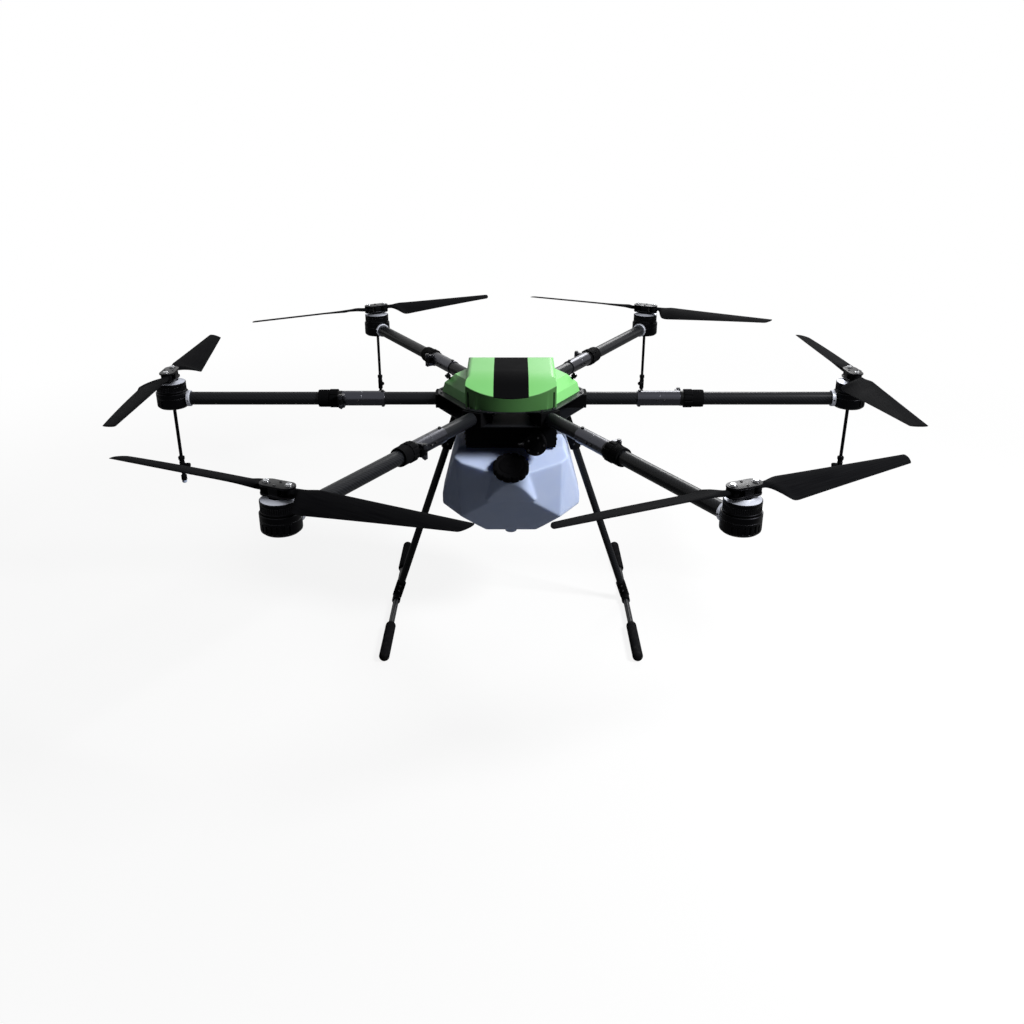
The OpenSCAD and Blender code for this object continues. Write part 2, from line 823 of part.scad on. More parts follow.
if (shown("hub_plates")) hub_plates();
if (shown("arm_clamps")) arm_clamps();
if (shown("inner_tubes")) inner_tubes();
if (shown("fold_sockets")) fold_sockets();
if (shown("fold_pins")) fold_pins();
if (shown("canopy")) canopy();
if (shown("canopy_panel")) canopy_panel();
if (shown("canopy_knobs")) canopy_knobs();
if (shown("flight_controller")) flight_controller();
if (shown("battery_tray")) battery_tray();
if (shown("battery_pack")) battery_pack();
if (shown("pump")) pump();
if (shown("tank")) tank();
if (shown("tank_hangers")) tank_hangers();
if (shown("filler_cap")) filler_cap();
if (shown("leg_brackets")) leg_brackets();
if (shown("landing_legs")) landing_legs();
if (shown("leg_tees")) leg_tees();
if (shown("skid_tubes")) skid_tubes();
if (shown("skid_feet")) skid_feet();
for (i = [0:5]) {
    if (shown(str(STATIONS[i], "_arm"))) at_arm(i) folding_arm();
    if (shown(str(STATIONS[i], "_motor_base"))) at_motor(i) motor_base();
    if (shown(str(STATIONS[i], "_lock_collar"))) at_arm(i) lock_collar();
    if (shown(str(STATIONS[i], "_rotor"))) at_prop(i) rotor();
    if (shown(str(STATIONS[i], "_blade_a"))) at_prop(i) on_pivot(1) blade();
    if (shown(str(STATIONS[i], "_blade_b"))) at_prop(i) on_pivot(-1) blade();
}
for (i = NOZZLE_STATIONS) {
    if (shown(str(STATIONS[i], "_nozzle"))) at_motor(i) nozzle();
}
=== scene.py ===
"""Looks of a folding six-rotor spraying drone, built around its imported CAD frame.

Pieces are drawn in millimetres in the CAD frame and scaled to metres when they become meshes. The origin
is on the ground under the hub axis, +Z is up and the filler cap faces -Y. An arm's frame has X running out
from the hub axis. Finishes, lamps and the camera are in metres.
"""

from __future__ import annotations

import json
import logging
import math
from dataclasses import dataclass
from enum import Enum
from typing import Any, Callable, Iterable, Sequence

import bmesh
import bpy
import numpy as np
from mathutils import Matrix, Vector

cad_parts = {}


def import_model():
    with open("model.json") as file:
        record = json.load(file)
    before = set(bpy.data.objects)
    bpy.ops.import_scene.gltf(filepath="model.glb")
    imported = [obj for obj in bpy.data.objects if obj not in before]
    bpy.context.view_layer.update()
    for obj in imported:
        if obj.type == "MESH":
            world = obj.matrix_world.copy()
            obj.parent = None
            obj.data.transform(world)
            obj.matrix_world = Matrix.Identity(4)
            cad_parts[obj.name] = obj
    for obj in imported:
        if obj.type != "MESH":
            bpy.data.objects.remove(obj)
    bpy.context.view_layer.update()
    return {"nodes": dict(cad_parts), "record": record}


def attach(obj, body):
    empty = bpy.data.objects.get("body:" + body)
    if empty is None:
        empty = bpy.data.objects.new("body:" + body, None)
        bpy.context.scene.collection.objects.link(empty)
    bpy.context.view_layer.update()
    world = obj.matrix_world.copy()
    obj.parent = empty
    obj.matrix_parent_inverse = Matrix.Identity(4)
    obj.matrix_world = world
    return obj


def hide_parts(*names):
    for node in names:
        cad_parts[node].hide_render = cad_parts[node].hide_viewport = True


LOG = logging.getLogger("drone")
SECTOR = math.radians(60)
SMOOTH_ANGLE = math.radians(32)
MM = 0.001
WELD = 1e-6
Pair = tuple[float, float]
Triple = tuple[float, float, float]
Colour = tuple[float, float, float, float]
Ripple = Callable[[float, float, float], float]
WHITE = (1, 1, 1, 1)
# Distance from the middle and height of the right leg's top and of the right skid's axis.
LEG_TOP = (137.0, 599.5)
SKID = (336.0, 13.0)
# Most of an edge that the rounding of one corner takes.
EDGE_SHARE = 0.45
SOCKETS = {
    "base_color": "Base Color",
    "roughness": "Roughness",
    "metallic": "Metallic",
    "specular": "Specular IOR Level",
    "coat": "Coat Weight",
    "coat_roughness": "Coat Roughness",
    "normal": "Normal",
    "subsurface": "Subsurface Weight",
    "subsurface_radius": "Subsurface Radius",
    "subsurface_scale": "Subsurface Scale",
}


class Station(Enum):
    """The six arms, counted anticlockwise from the right."""

    RIGHT = "right"
    REAR_RIGHT = "rear_right"
    REAR_LEFT = "rear_left"
    LEFT = "left"
    FRONT_LEFT = "front_left"
    FRONT_RIGHT = "front_right"

    @property
    def turn(self) -> float:
        """Angle of the arm about the hub axis."""
        return SECTOR * list(Station).index(self)

    def named(self, piece: str) -> str:
        """Name of one of the station's nodes or bodies."""
        return f"{self.value}_{piece}"


NOZZLE_STATIONS = (Station.RIGHT, Station.REAR_RIGHT, Station.REAR_LEFT, Station.LEFT)


@dataclass(frozen=True)
class Layout:
    """Places that the pieces share, in millimetres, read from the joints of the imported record."""

    arm_height: float
    motor_reach: float
    pivot_reach: float
    prop_turns: dict[Station, float]
    cap_place: Matrix

    @classmethod
    def from_record(cls, record: dict[str, Any]) -> Layout:
        """Read the layout from the right-hand arm's joints, the propellers' joints and the cap's joint.

        Args:
            record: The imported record.

        Returns:
            The layout.
        """
        joints = {joint["name"]: joint for joint in record["behaviour"]["joints"]}
        place = {name: Vector(joint.get("pos_m", (0, 0, 0))) / MM for name, joint in joints.items()}
        lean = Vector((0, 0, 1)).rotation_difference(joints["cap_turn"]["axis"]).to_matrix().to_4x4()
        pivots = {
            station: place[station.named("blade_a_fold")] - place[station.named("spin")]
            for station in Station
        }
        return cls(
            arm_height=place["right_fold"].z,
            motor_reach=place["right_spin"].x,
            pivot_reach=pivots[Station.RIGHT].xy.length,
            prop_turns={station: math.atan2(pivot.y, pivot.x) for station, pivot in pivots.items()},
            cap_place=Matrix.Translation(place["cap_turn"]) @ lean,
        )

    def on_arm(self, station: Station, reach: float = 0.0, side: float = 0.0, rise: float = 0.0) -> Matrix:
        """Frame of an arm, moved out along it, sideways and up."""
        turn = Matrix.Rotation(station.turn, 4, "Z")
        return turn @ Matrix.Translation((reach, side, self.arm_height + rise))

    def on_prop(self, station: Station, rise: float = 0.0) -> Matrix:
        """Frame on a motor's axis with X along the propeller at rest, towards its blade a."""
        middle = self.on_arm(station, self.motor_reach, 0, rise).translation
        return Matrix.Translation(middle) @ Matrix.Rotation(self.prop_turns[station], 4, "Z")

    def on_hub(self, x: float = 0.0, y: float = 0.0, z: float = 0.0) -> Matrix:
        """Frame on the hub axis at the height of the arms, moved."""
        return Matrix.Translation((x, y, self.arm_height + z))


class Signal:
    """A node socket that Python operators combine into Math nodes."""

    def __init__(self, graph: NodeGraph, socket: bpy.types.NodeSocket) -> None:
        """Wrap an output socket of a graph."""
        self.graph = graph
        self.socket = socket

    def math(self, operation: str, *others: Signal | float) -> Signal:
        """Add a Math node that takes this signal first."""
        return self.graph.math(operation, self, *others)

    def __add__(self, other: Signal | float) -> Signal:
        """Sum of two values."""
        return self.math("ADD", other)

    __radd__ = __add__

    def __sub__(self, other: Signal | float) -> Signal:
        """This value less another."""
        return self.math("SUBTRACT", other)

    def __rsub__(self, other: float) -> Signal:
        """A number less this value."""
        return self.graph.math("SUBTRACT", other, self)

    def __mul__(self, other: Signal | float) -> Signal:
        """Product of two values."""
        return self.math("MULTIPLY", other)

    __rmul__ = __mul__

    def __truediv__(self, other: Signal | float) -> Signal:
        """This value over another."""
        return self.math("DIVIDE", other)

    def __mod__(self, other: Signal | float) -> Signal:
        """Remainder, never negative."""
        return self.math("FLOORED_MODULO", other)

    def __pow__(self, other: Signal | float) -> Signal:
        """This value to a power."""
        return self.math("POWER", other)

    def __lt__(self, other: Signal | float) -> Signal:
        """1 where this value is the lower one, else 0."""
        return self.math("LESS_THAN", other)

    def __gt__(self, other: Signal | float) -> Signal:
        """1 where this value is the higher one, else 0."""
        return self.math("GREATER_THAN", other)

    def __abs__(self) -> Signal:
        """Size of the value without its sign."""
        return self.math("ABSOLUTE")

    def floor(self) -> Signal:
        """Whole number at or below the value."""
        return self.math("FLOOR")

    def fract(self) -> Signal:
        """Part of the value after the point."""
        return self.math("FRACT")

    def sine(self) -> Signal:
        """Sine of an angle in radians."""
        return self.math("SINE")

    def cosine(self) -> Signal:
        """Cosine of an angle in radians."""
        return self.math("COSINE")

    def fade(self, low: float, high: float) -> Signal:
        """Smooth step from 0 at low to 1 at high.

        Args:
            low: Value that gives 0.
            high: Value that gives 1.

        Returns:
            The stepped value.
        """
        options = {"interpolation_type": "SMOOTHSTEP", "clamp": True}
        node = self.graph.node("ShaderNodeMapRange", options, {0: self, 1: low, 2: high})
        return Signal(self.graph, node.outputs[0])


class NodeGraph:
    """Adds nodes to a tree, for materials and for Geometry Nodes alike."""

    def __init__(self, tree: bpy.types.NodeTree) -> None:
        """Work on a node tree."""
        self.tree = tree

    def node(
        self, kind: str, options: dict[str, Any] | None = None, sockets: dict[Any, Any] | None = None
    ) -> bpy.types.Node:
        """Add a node, set its options first and then its sockets.

        Args:
            kind: The node's type.
            options: Settings of the node.
            sockets: Values or links of its inputs, by name or number.

        Returns:
            The node.
        """
        made = self.tree.nodes.new(kind)
        for key, value in (options or {}).items():
            setattr(made, key, value)
        for key, value in (sockets or {}).items():
            self.feed(made.inputs[key], value)
        return made

    def feed(self, socket: bpy.types.NodeSocket, value: Any) -> None:
        """Link a signal to an input socket, or set its plain value.

        Args:
            socket: The input socket.
            value: A signal or a plain value.
        """
        if isinstance(value, Signal):
            self.tree.links.new(value.socket, socket)
        else:
            socket.default_value = value

    def signal(self, kind: str, output: str | int = 0, options: Any = None, sockets: Any = None) -> Signal:
        """Add a node and wrap one of its outputs."""
        return Signal(self, self.node(kind, options, sockets).outputs[output])

    def math(self, operation: str, *values: Signal | float) -> Signal:
        """Add a Math node."""
        return self.signal("ShaderNodeMath", 0, {"operation": operation}, dict(enumerate(values)))

    def vector(self, x: Signal | float, y: Signal | float, z: Signal | float) -> Signal:
        """Join three values into a vector."""
        return self.signal("ShaderNodeCombineXYZ", 0, None, {0: x, 1: y, 2: z})

    def mix(self, start: Signal | float, end: Signal | float, share: Signal | float) -> Signal:
        """Value between two others."""
        return start + (end - start) * share

    def tint(self, share: Signal | float, first: Colour | Signal, second: Colour | Signal) -> Signal:
        """Colour between two others."""
        return self.signal("ShaderNodeMix", 2, {"data_type": "RGBA"}, {0: share, 6: first, 7: second})


class ShaderGraph(NodeGraph):
    """A material's nodes around its Principled shader."""

    bevel_samples = 6
    wear_range = (0.02, 0.22)

    def __init__(self, name: str) -> None:
        """Make an empty material.

        Args:
            name: The material's name.
        """
        self.material = bpy.data.materials.new(name)
        self.material.use_nodes = True
        super().__init__(self.material.node_tree)
        self.surface = self.tree.nodes["Principled BSDF"]

    def place(self) -> Signal:
        """Object coordinates, which are the CAD frame's."""
        return self.signal("ShaderNodeTexCoord", "Object")

    def axes(self) -> tuple[Signal, Signal, Signal]:
        """Object coordinates, split into x, y and z."""
        split = self.node("ShaderNodeSeparateXYZ", None, {0: self.place()})
        return tuple(Signal(self, socket) for socket in split.outputs)

    def arm_axes(self, height: float) -> tuple[Signal, Signal, Signal]:
        """Coordinates folded into one arm's frame, so that all six arms share a pattern.

        Args:
            height: Height of the arm axis.

        Returns:
            Distance out along the nearest arm, distance sideways and height above the arm axis.
        """
        x, y, z = self.axes()
        turn = self.math("ARCTAN2", y, x)
        off = turn - (turn / SECTOR + 0.5).floor() * SECTOR
        reach = (x * x + y * y) ** 0.5
        return reach * off.cosine(), reach * off.sine(), z - height

    def noise(self, scale: float, detail: float = 3.0, place: Signal | None = None) -> Signal:
        """Fractal noise between 0 and 1."""
        sockets = {"Vector": place or self.place(), "Scale": scale, "Detail": detail}
        return self.signal("ShaderNodeTexNoise", 0, None, sockets)

    def rounded(self, radius: float) -> Signal:
        """Normal that rounds sharp edges."""
        return self.signal("ShaderNodeBevel", 0, {"samples": self.bevel_samples}, {"Radius": radius})

    def edge_mask(self, radius: float) -> Signal:
        """Mask of the worn strip along sharp edges.

        Args:
            radius: Reach of the wear from an edge.

        Returns:
            0 on flats, up to 1 at an edge.
        """
        flat = self.signal("ShaderNodeNewGeometry", "Normal")
        options = {"operation": "DOT_PRODUCT"}
        match = self.signal("ShaderNodeVectorMath", "Value", options, {0: self.rounded(radius), 1: flat})
        return (1 - match).fade(*self.wear_range)

    def bump(self, height: Signal, depth: float, normal: Signal | None = None) -> Signal:
        """Normal of a relief.

        Args:
            height: Relief from 0 to 1.
            depth: Height of the relief.
            normal: Normal to start from.

        Returns:
            The bumped normal.
        """
        sockets: dict[str, Any] = {"Height": height, "Distance": depth, "Strength": 1.0}
        if normal is not None:
            sockets["Normal"] = normal
        return self.signal("ShaderNodeBump", 0, None, sockets)

    def paint(self, **sockets: Any) -> None:
        """Set the Principled shader's sockets, named with underscores for spaces."""
        for key, value in sockets.items():
            self.feed(self.surface.inputs[SOCKETS[key]], value)


@dataclass(frozen=True)
class Finish:
    """A named surface finish."""

    name: str

    def wire(self, graph: ShaderGraph) -> None:
        """Add the finish's nodes to a graph."""
        raise NotImplementedError

    def material(self) -> bpy.types.Material:
        """Give the finish's material, made at its first use.

        Returns:
            The material.
        """
        found = bpy.data.materials.get(self.name)
        if found is None:
            graph = ShaderGraph(self.name)
            self.wire(graph)
            found = graph.material
        return found


@dataclass(frozen=True)
class Moulded(Finish):
    """Moulded plastic with a fine spark-eroded grain and slightly polished edges."""

    colour: Colour
    worn: Colour
    roughness: float = 0.5
    specular: float = 0.008
    grain: float = 2600.0
    cloud: float = 38.0
    relief: float = 0.00006
    edge: float = 0.0008

    def wire(self, graph: ShaderGraph) -> None:
        """Add grain, cloudy gloss and paler edges.

        Args:
            graph: The material's graph.
        """
        grain = graph.noise(self.grain, 2)
        cloud = graph.noise(self.cloud, 4)
        wear = graph.edge_mask(self.edge) * (0.35 + cloud * 0.5)
        graph.paint(
            base_color=graph.tint(wear, self.colour, self.worn),
            roughness=self.roughness - 0.08 + cloud * 0.16,
            specular=self.specular,
            normal=graph.bump(grain, self.relief, graph.rounded(self.edge)),
        )


@dataclass(frozen=True)
class Gloss(Finish):
    """Glossy canopy shell with a clear coat and a faint orange peel, and painted shade on the hood's round
    front.
    """

    colour: Colour
    shade: Colour
    # Darker green painted on the hood's round front as shade.
    fascia_painted_shade: Colour
    fascia_radius: float = 0.1805
    fascia_half: float = 0.1165
    roughness: float = 0.44
    specular: float = 0.25
    coat: float = 0.1
    coat_roughness: float = 0.3
    drift: float = 7.0
    dust: float = 260.0
    peel: float = 420.0
    relief: float = 0.00002
    edge: float = 0.0012

    def wire(self, graph: ShaderGraph) -> None:
        """Add slow colour drift, painted shade on the hood's round front, dust in the gloss and the coat's
        ripple.

        Args:
            graph: The material's graph.
        """
        drift = graph.noise(self.drift, 3)
        dust = graph.noise(self.dust, 5)
        ripple = graph.bump(graph.noise(self.peel, 1), self.relief, graph.rounded(self.edge))
        x, y, _ = graph.axes()
        # Painted shade: the hood's round front gets a much darker green than the rest of the shell.
        front = ((x * x + y * y) ** 0.5 > self.fascia_radius) * (abs(x) < self.fascia_half)
        shell = graph.tint(drift.fade(0.35, 0.75), self.colour, self.shade)
        graph.paint(
            base_color=graph.tint(front, shell, self.fascia_painted_shade),
            roughness=self.roughness + dust.fade(0.55, 0.8) * 0.12,
            specular=self.specular,
            coat=self.coat,
            coat_roughness=self.coat_roughness,
            normal=ripple,
        )


@dataclass(frozen=True)
class Weave(Finish):
    """Twill carbon cloth under resin, wound round the arm tubes."""

    arm_height: float
    tube_radius: float = 0.0175
    tows_round: int = 48
    plain_until: float = -1.0
    gloss: float = 0.1
    roughness: float = 0.27
    cloud: float = 22.0
    relief: float = 0.000012
    dark: Colour = (0.0025, 0.0025, 0.003, 1)
    light: Colour = (0.016, 0.0175, 0.021, 1)

    @property
    def tow(self) -> float:
        """Width of a tow."""
        return math.tau * self.tube_radius / self.tows_round

    def tows_at(self, turn: Signal) -> Signal:
        """Tows round the tube up to an angle."""
        return turn * (self.tows_round / math.tau)

    def spread(self, graph: ShaderGraph) -> tuple[Signal, Signal]:
        """Lay the tube's surface flat, counted in tows."""
        along, side, rise = graph.arm_axes(self.arm_height)
        return along / self.tow, self.tows_at(graph.math("ARCTAN2", side, rise))

    def wire(self, graph: ShaderGraph) -> None:
        """Add the crossing tows, their sheen and the satin resin.

        Args:
            graph: The material's graph.
        """
        along, across = self.spread(graph)
        over = ((along.floor() + across.floor()) % 4) < 2
        warp = (across.fract() * math.pi).sine()
        weft = (along.fract() * math.pi).sine()
        cloth = along > self.plain_until / self.tow
        crown = graph.mix(weft, warp, over) * cloth
        cloud = graph.noise(self.cloud, 3)
        graph.paint(
            base_color=graph.tint(over * cloth * 0.55 + crown * 0.35, self.dark, self.light),
            roughness=self.roughness + (1 - crown) * 0.06 + cloud * 0.06,
            specular=self.gloss,
            normal=graph.bump(crown, self.relief),
        )


@dataclass(frozen=True)
class LegWeave(Weave):
    """The same cloth on the leaning leg tubes."""

    def spread(self, graph: ShaderGraph) -> tuple[Signal, Signal]:
        """Lay a leg's surface flat, with both legs folded into one.

        Args:
            graph: The material's graph.

        Returns:
            Tows along the leg and tows round it.
        """
        top = Vector(LEG_TOP) * MM
        down = (Vector(SKID) * MM - top).normalized()
        x, y, z = graph.axes()
        out, rise = abs(x) - top.x, z - top.y
        along = out * down.x + rise * down.y
        off = out * down.y - rise * down.x
        return along / self.tow, self.tows_at(graph.math("ARCTAN2", y, off))


@dataclass(frozen=True)
class SkidWeave(Weave):
    """The same cloth on the skid tubes, which run front to rear."""

    def spread(self, graph: ShaderGraph) -> tuple[Signal, Signal]:
        """Lay a skid's surface flat, with both skids folded into one.

        Args:
            graph: The material's graph.

        Returns:
            Tows along the skid and tows round it.
        """
        x, y, z = graph.axes()
        turn = graph.math("ARCTAN2", abs(x) - SKID[0] * MM, z - SKID[1] * MM)
        return y / self.tow, self.tows_at(turn)


@dataclass(frozen=True)
class PlateWeave(Weave):
    """The same cloth on the flat hub plates."""

    flat_tow: float = 0.0025

    def spread(self, graph: ShaderGraph) -> tuple[Signal, Signal]:
        """Lay the cloth square to the airframe."""
        x, y, _ = graph.axes()
        return x / self.flat_tow, y / self.flat_tow


@dataclass(frozen=True)
class Composite(Finish):
    """Satin blade composite with fibres along the blade."""

    arm_height: float
    dark: Colour = (0.003, 0.003, 0.0036, 1)
    light: Colour = (0.007, 0.0072, 0.008, 1)
    roughness: float = 0.42
    specular: float = 0.003
    fibres: Triple = (900.0, 14.0, 60.0)
    cloud: float = 16.0
    relief: float = 0.00002

    def wire(self, graph: ShaderGraph) -> None:
        """Add drawn-out fibres and a cloudy satin.

        Args:
            graph: The material's graph.
        """
        axes = graph.arm_axes(self.arm_height)
        fibre = graph.noise(1, 4, graph.vector(*(axis * per for axis, per in zip(axes, self.fibres))))
        cloud = graph.noise(self.cloud, 3)
        graph.paint(
            base_color=graph.tint(fibre.fade(0.3, 0.75), self.dark, self.light),
            roughness=self.roughness + cloud * 0.14,
            specular=self.specular,
            normal=graph.bump(fibre, self.relief),
        )


@dataclass(frozen=True)
class Metal(Finish):
    """Bare, satin or anodised metal with fine machining marks and brighter edges."""

    colour: Colour
    worn: Colour
    roughness: float = 0.3
    marks: float = 0.12
    machining: float = 1500.0
    haze: float = 55.0
    relief: float = 0.00001
    edge: float = 0.0007

    def wire(self, graph: ShaderGraph) -> None:
        """Add machining marks, handling haze and edge shine.

        Args:
            graph: The material's graph.
        """
        marks = graph.noise(self.machining, 2)
        haze = graph.noise(self.haze, 4)
        shine = graph.edge_mask(self.edge) * (0.4 + haze * 0.5)
        graph.paint(
            base_color=graph.tint(shine, self.colour, self.worn),
            metallic=1.0,
            roughness=self.roughness - self.marks / 2 + marks * self.marks + haze.fade(0.5, 0.9) * 0.1,
            normal=graph.bump(marks, self.relief, graph.rounded(self.edge)),
        )


@dataclass(frozen=True)
class TankSkin(Finish):
    """Blow-moulded, slightly translucent tank wall."""

    colour: Colour = (0.53, 0.62, 0.86, 1)
    thick: Colour = (0.47, 0.57, 0.83, 1)
    roughness: float = 0.36
    specular: float = 0.06
    depth: float = 0.02
    depth_share: float = 0.35
    depth_tint: Triple = (0.8, 0.9, 1.0)
    wall: float = 9.0
    grain: float = 900.0
    swirl: float = 60.0
    relief: float = 0.00004
    edge: float = 0.0015

    def wire(self, graph: ShaderGraph) -> None:
        """Add cloudy wall thickness, a soft skin and a little light through it.

        Args:
            graph: The material's graph.
        """
        wall = graph.noise(self.wall, 3)
        skin = graph.noise(self.grain, 3)
        swirl = graph.noise(self.swirl, 4)
        graph.paint(
            base_color=graph.tint(wall.fade(0.3, 0.8), self.colour, self.thick),
            roughness=self.roughness + swirl * 0.16,
            specular=self.specular,
            subsurface=self.depth_share,
            subsurface_radius=self.depth_tint,
            subsurface_scale=self.depth,
            normal=graph.bump(skin, self.relief, graph.rounded(self.edge)),
        )


@dataclass(frozen=True)
class Foam(Finish):
    """Closed-cell foam rubber of the skid feet."""

    colour: Colour = (0.008, 0.008, 0.009, 1)
    dusty: Colour = (0.02, 0.0195, 0.019, 1)
    roughness: float = 0.78
    specular: float = 0.01
    cells: float = 1100.0
    dust: float = 70.0
    relief: float = 0.00012
    edge: float = 0.0015

    def wire(self, graph: ShaderGraph) -> None:
        """Add cells and dust.

        Args:
            graph: The material's graph.
        """
        sockets = {"Vector": graph.place(), "Scale": self.cells}
        cells = graph.signal("ShaderNodeTexVoronoi", 0, None, sockets)
        dust = graph.noise(self.dust, 5)
        graph.paint(
            base_color=graph.tint(dust.fade(0.45, 0.8), self.colour, self.dusty),
            roughness=self.roughness + dust * 0.15,
            specular=self.specular,
            normal=graph.bump(cells, self.relief, graph.rounded(self.edge)),
        )


@dataclass(frozen=True)
class Palette:
    """Every finish of the drone."""

    arm_weave: Finish
    knuckle_weave: Finish
    leg_weave: Finish
    skid_weave: Finish
    plate_weave: Finish
    blade: Finish
    black: Finish = Moulded("black_grain", (0.0045, 0.0045, 0.005, 1), (0.02, 0.02, 0.022, 1))
    charcoal: Finish = Moulded(
        "charcoal_grain", (0.004, 0.004, 0.0045, 1), (0.02, 0.02, 0.022, 1), specular=0.004
    )
    anodised: Finish = Metal("black_anodised", (0.006, 0.006, 0.007, 1), (0.06, 0.06, 0.066, 1), 0.4)
    alloy: Finish = Metal("satin_alloy", (0.56, 0.58, 0.65, 1), (0.74, 0.76, 0.82, 1), 0.55)
    gunmetal: Finish = Metal("gunmetal_satin", (0.047, 0.048, 0.058, 1), (0.22, 0.22, 0.24, 1), 0.28)
    steel: Finish = Metal("bright_steel", (0.56, 0.57, 0.59, 1), (0.8, 0.8, 0.82, 1), 0.2)
    dark_steel: Finish = Metal("blackened_steel", (0.022, 0.022, 0.024, 1), (0.2, 0.2, 0.21, 1), 0.34)
    green: Finish = Gloss(
        "canopy_green", (0.215, 0.61, 0.19, 1), (0.195, 0.575, 0.165, 1), (0.056, 0.165, 0.046, 1)
    )
    tank: Finish = TankSkin("tank_skin")
    foam: Finish = Foam("foot_foam")

    @classmethod
    def for_arms(cls, height: float, knuckle_end: float = 0.514) -> Palette:
        """Make the palette, with the patterns that follow the arms.

        Args:
            height: Height of the arm axes.
            knuckle_end: Where the outer arms' black knuckles end and their cloth starts.

        Returns:
            The palette.
        """
        return cls(
            arm_weave=Weave("arm_weave", height),
            knuckle_weave=Weave("knuckle_weave", height, plain_until=knuckle_end),
            leg_weave=LegWeave("leg_weave", height, tube_radius=0.01, tows_round=28),
            skid_weave=SkidWeave("skid_weave", height, tube_radius=0.008, tows_round=24),
            plate_weave=PlateWeave("plate_weave", height),
            blade=Composite("blade_satin", height),
        )


@dataclass(frozen=True)
class Lamp:
    """A soft square lamp that faces the drone's hub."""

    name: str
    place: Triple
    size: float
    watts: float
    aim: Triple = (0.0, 0.0, 0.5)

    def build(self) -> None:
        """Hang the lamp."""
        light = bpy.data.lights.new(self.name, "AREA")
        light.size = self.size
        light.energy = self.watts
        lamp = bpy.data.objects.new(self.name, light)
        lamp.location = self.place
        lamp.rotation_euler = (Vector(self.place) - Vector(self.aim)).to_track_quat("Z", "Y").to_euler()
        bpy.context.scene.collection.objects.link(lamp)


@dataclass(frozen=True)
class Studio:
    """Camera at the photograph's view, soft lamps and a white floor."""

    camera_place: Triple = (0.0, -2.619, 1.454)
    camera_pitch: float = 24.1
    focal_pixels: float = 1009.0
    image_pixels: float = 1024.0
    middle_pixel: float = 511.0
    sensor: float = 36.0
    floor_half: float = 30.0
    floor_clear: Pair = (1.2, 3.4)
    floor_glow: float = 0.88
    floor_shine: float = 0.1
    floor_bounce: Colour = (0.17, 0.17, 0.17, 1)
    floor_tones: tuple[Colour, Colour] = ((0.9, 0.9, 0.9, 1), (0.88, 0.88, 0.88, 1))
    floor_roughness: float = 0.9
    fill: Colour = (0.01, 0.0105, 0.012, 1)
    lamps: tuple[Lamp, ...] = (
        Lamp("key", (2.6, -1.15, 3.02), 0.9, 192),
        Lamp("back", (1.0, 3.0, 2.4), 1.2, 48),
    )

    def build(self) -> None:
        """Make the camera, lamps, floor and world."""
        scene = bpy.context.scene
        scene.view_settings.view_transform = "Standard"
        self.add_camera(scene)
        self.add_floor()
        self.add_world(scene)
        for lamp in self.lamps:
            lamp.build()
        LOG.info("studio ready")

    def add_camera(self, scene: bpy.types.Scene) -> None:
        """Place the camera where the photograph was taken.

        Args:
            scene: The scene that gets the camera.
        """
        lens = bpy.data.cameras.new("camera")
        lens.sensor_width = self.sensor
        lens.lens = self.sensor * self.focal_pixels / self.image_pixels
        lens.shift_x = (self.image_pixels / 2 - self.middle_pixel) / self.image_pixels
        camera = bpy.data.objects.new("camera", lens)
        camera.location = self.camera_place
        camera.rotation_euler = (math.radians(90 - self.camera_pitch), 0, 0)
        scene.collection.objects.link(camera)
        scene.camera = camera

    @staticmethod
    def rays(graph: NodeGraph) -> tuple[Signal, Signal]:
        """Tell the rays that show the background from those that light the drone.

        Args:
            graph: The graph of the floor or the world.

        Returns:
            1 for camera rays, and 1 for glossy and transmission rays.
        """
        path = graph.node("ShaderNodeLightPath")
        kinds = ("Camera", "Glossy", "Transmission")
        camera, glossy, clear = (Signal(graph, path.outputs[f"Is {kind} Ray"]) for kind in kinds)
        return camera, glossy.math("MAXIMUM", clear)

    def add_world(self, scene: bpy.types.Scene) -> None:
        """Make a world that looks white and lights softly.

        Args:
            scene: The scene that gets the world.
        """
        world = bpy.data.worlds.new("world")
        world.use_nodes = True
        scene.world = world
        graph = NodeGraph(world.node_tree)
        camera, mirror = self.rays(graph)
        colour = graph.tint(camera.math("MAXIMUM", mirror), self.fill, WHITE)
        graph.feed(world.node_tree.nodes["Background"].inputs["Color"], colour)

    def add_floor(self) -> None:
        """Make a floor that is white with a soft shadow to the camera, and throws little light back up."""
        half = self.floor_half
        corners = [(-half, -half, 0), (half, -half, 0), (half, half, 0), (-half, half, 0)]
        mesh = bpy.data.meshes.new("floor")
        mesh.from_pydata(corners, [], [(0, 1, 2, 3)])
        floor = bpy.data.objects.new("floor", mesh)
        bpy.context.scene.collection.objects.link(floor)
        graph = ShaderGraph("floor_white")
        x, y, _ = graph.axes()
        away = ((x * x + y * y) ** 0.5).fade(*self.floor_clear)
        glow = graph.signal("ShaderNodeEmission", 0, None, {"Color": WHITE, "Strength": 1.0})
        camera, mirror = self.rays(graph)
        white = graph.tint(graph.noise(3, 2), *self.floor_tones)
        graph.paint(
            base_color=graph.tint(camera, self.floor_bounce, white),
            roughness=self.floor_roughness,
            specular=0.0,
        )
        share = camera * graph.mix(self.floor_glow, 1.0, away) + mirror * self.floor_shine
        paint = Signal(graph, graph.surface.outputs[0])
        shader = graph.signal("ShaderNodeMixShader", 0, None, {0: share, 1: paint, 2: glow})
        graph.feed(graph.tree.nodes["Material Output"].inputs["Surface"], shader)
        mesh.materials.append(graph.material)


ALONG_X = Matrix.Rotation(math.radians(90), 4, "Y")
ALONG_Y = Matrix.Rotation(math.radians(-90), 4, "X")
DOWN = Matrix.Rotation(math.radians(180), 4, "X")


def moved(x: float = 0.0, y: float = 0.0, z: float = 0.0) -> Matrix:
    """Matrix of a plain move."""
    return Matrix.Translation((x, y, z))


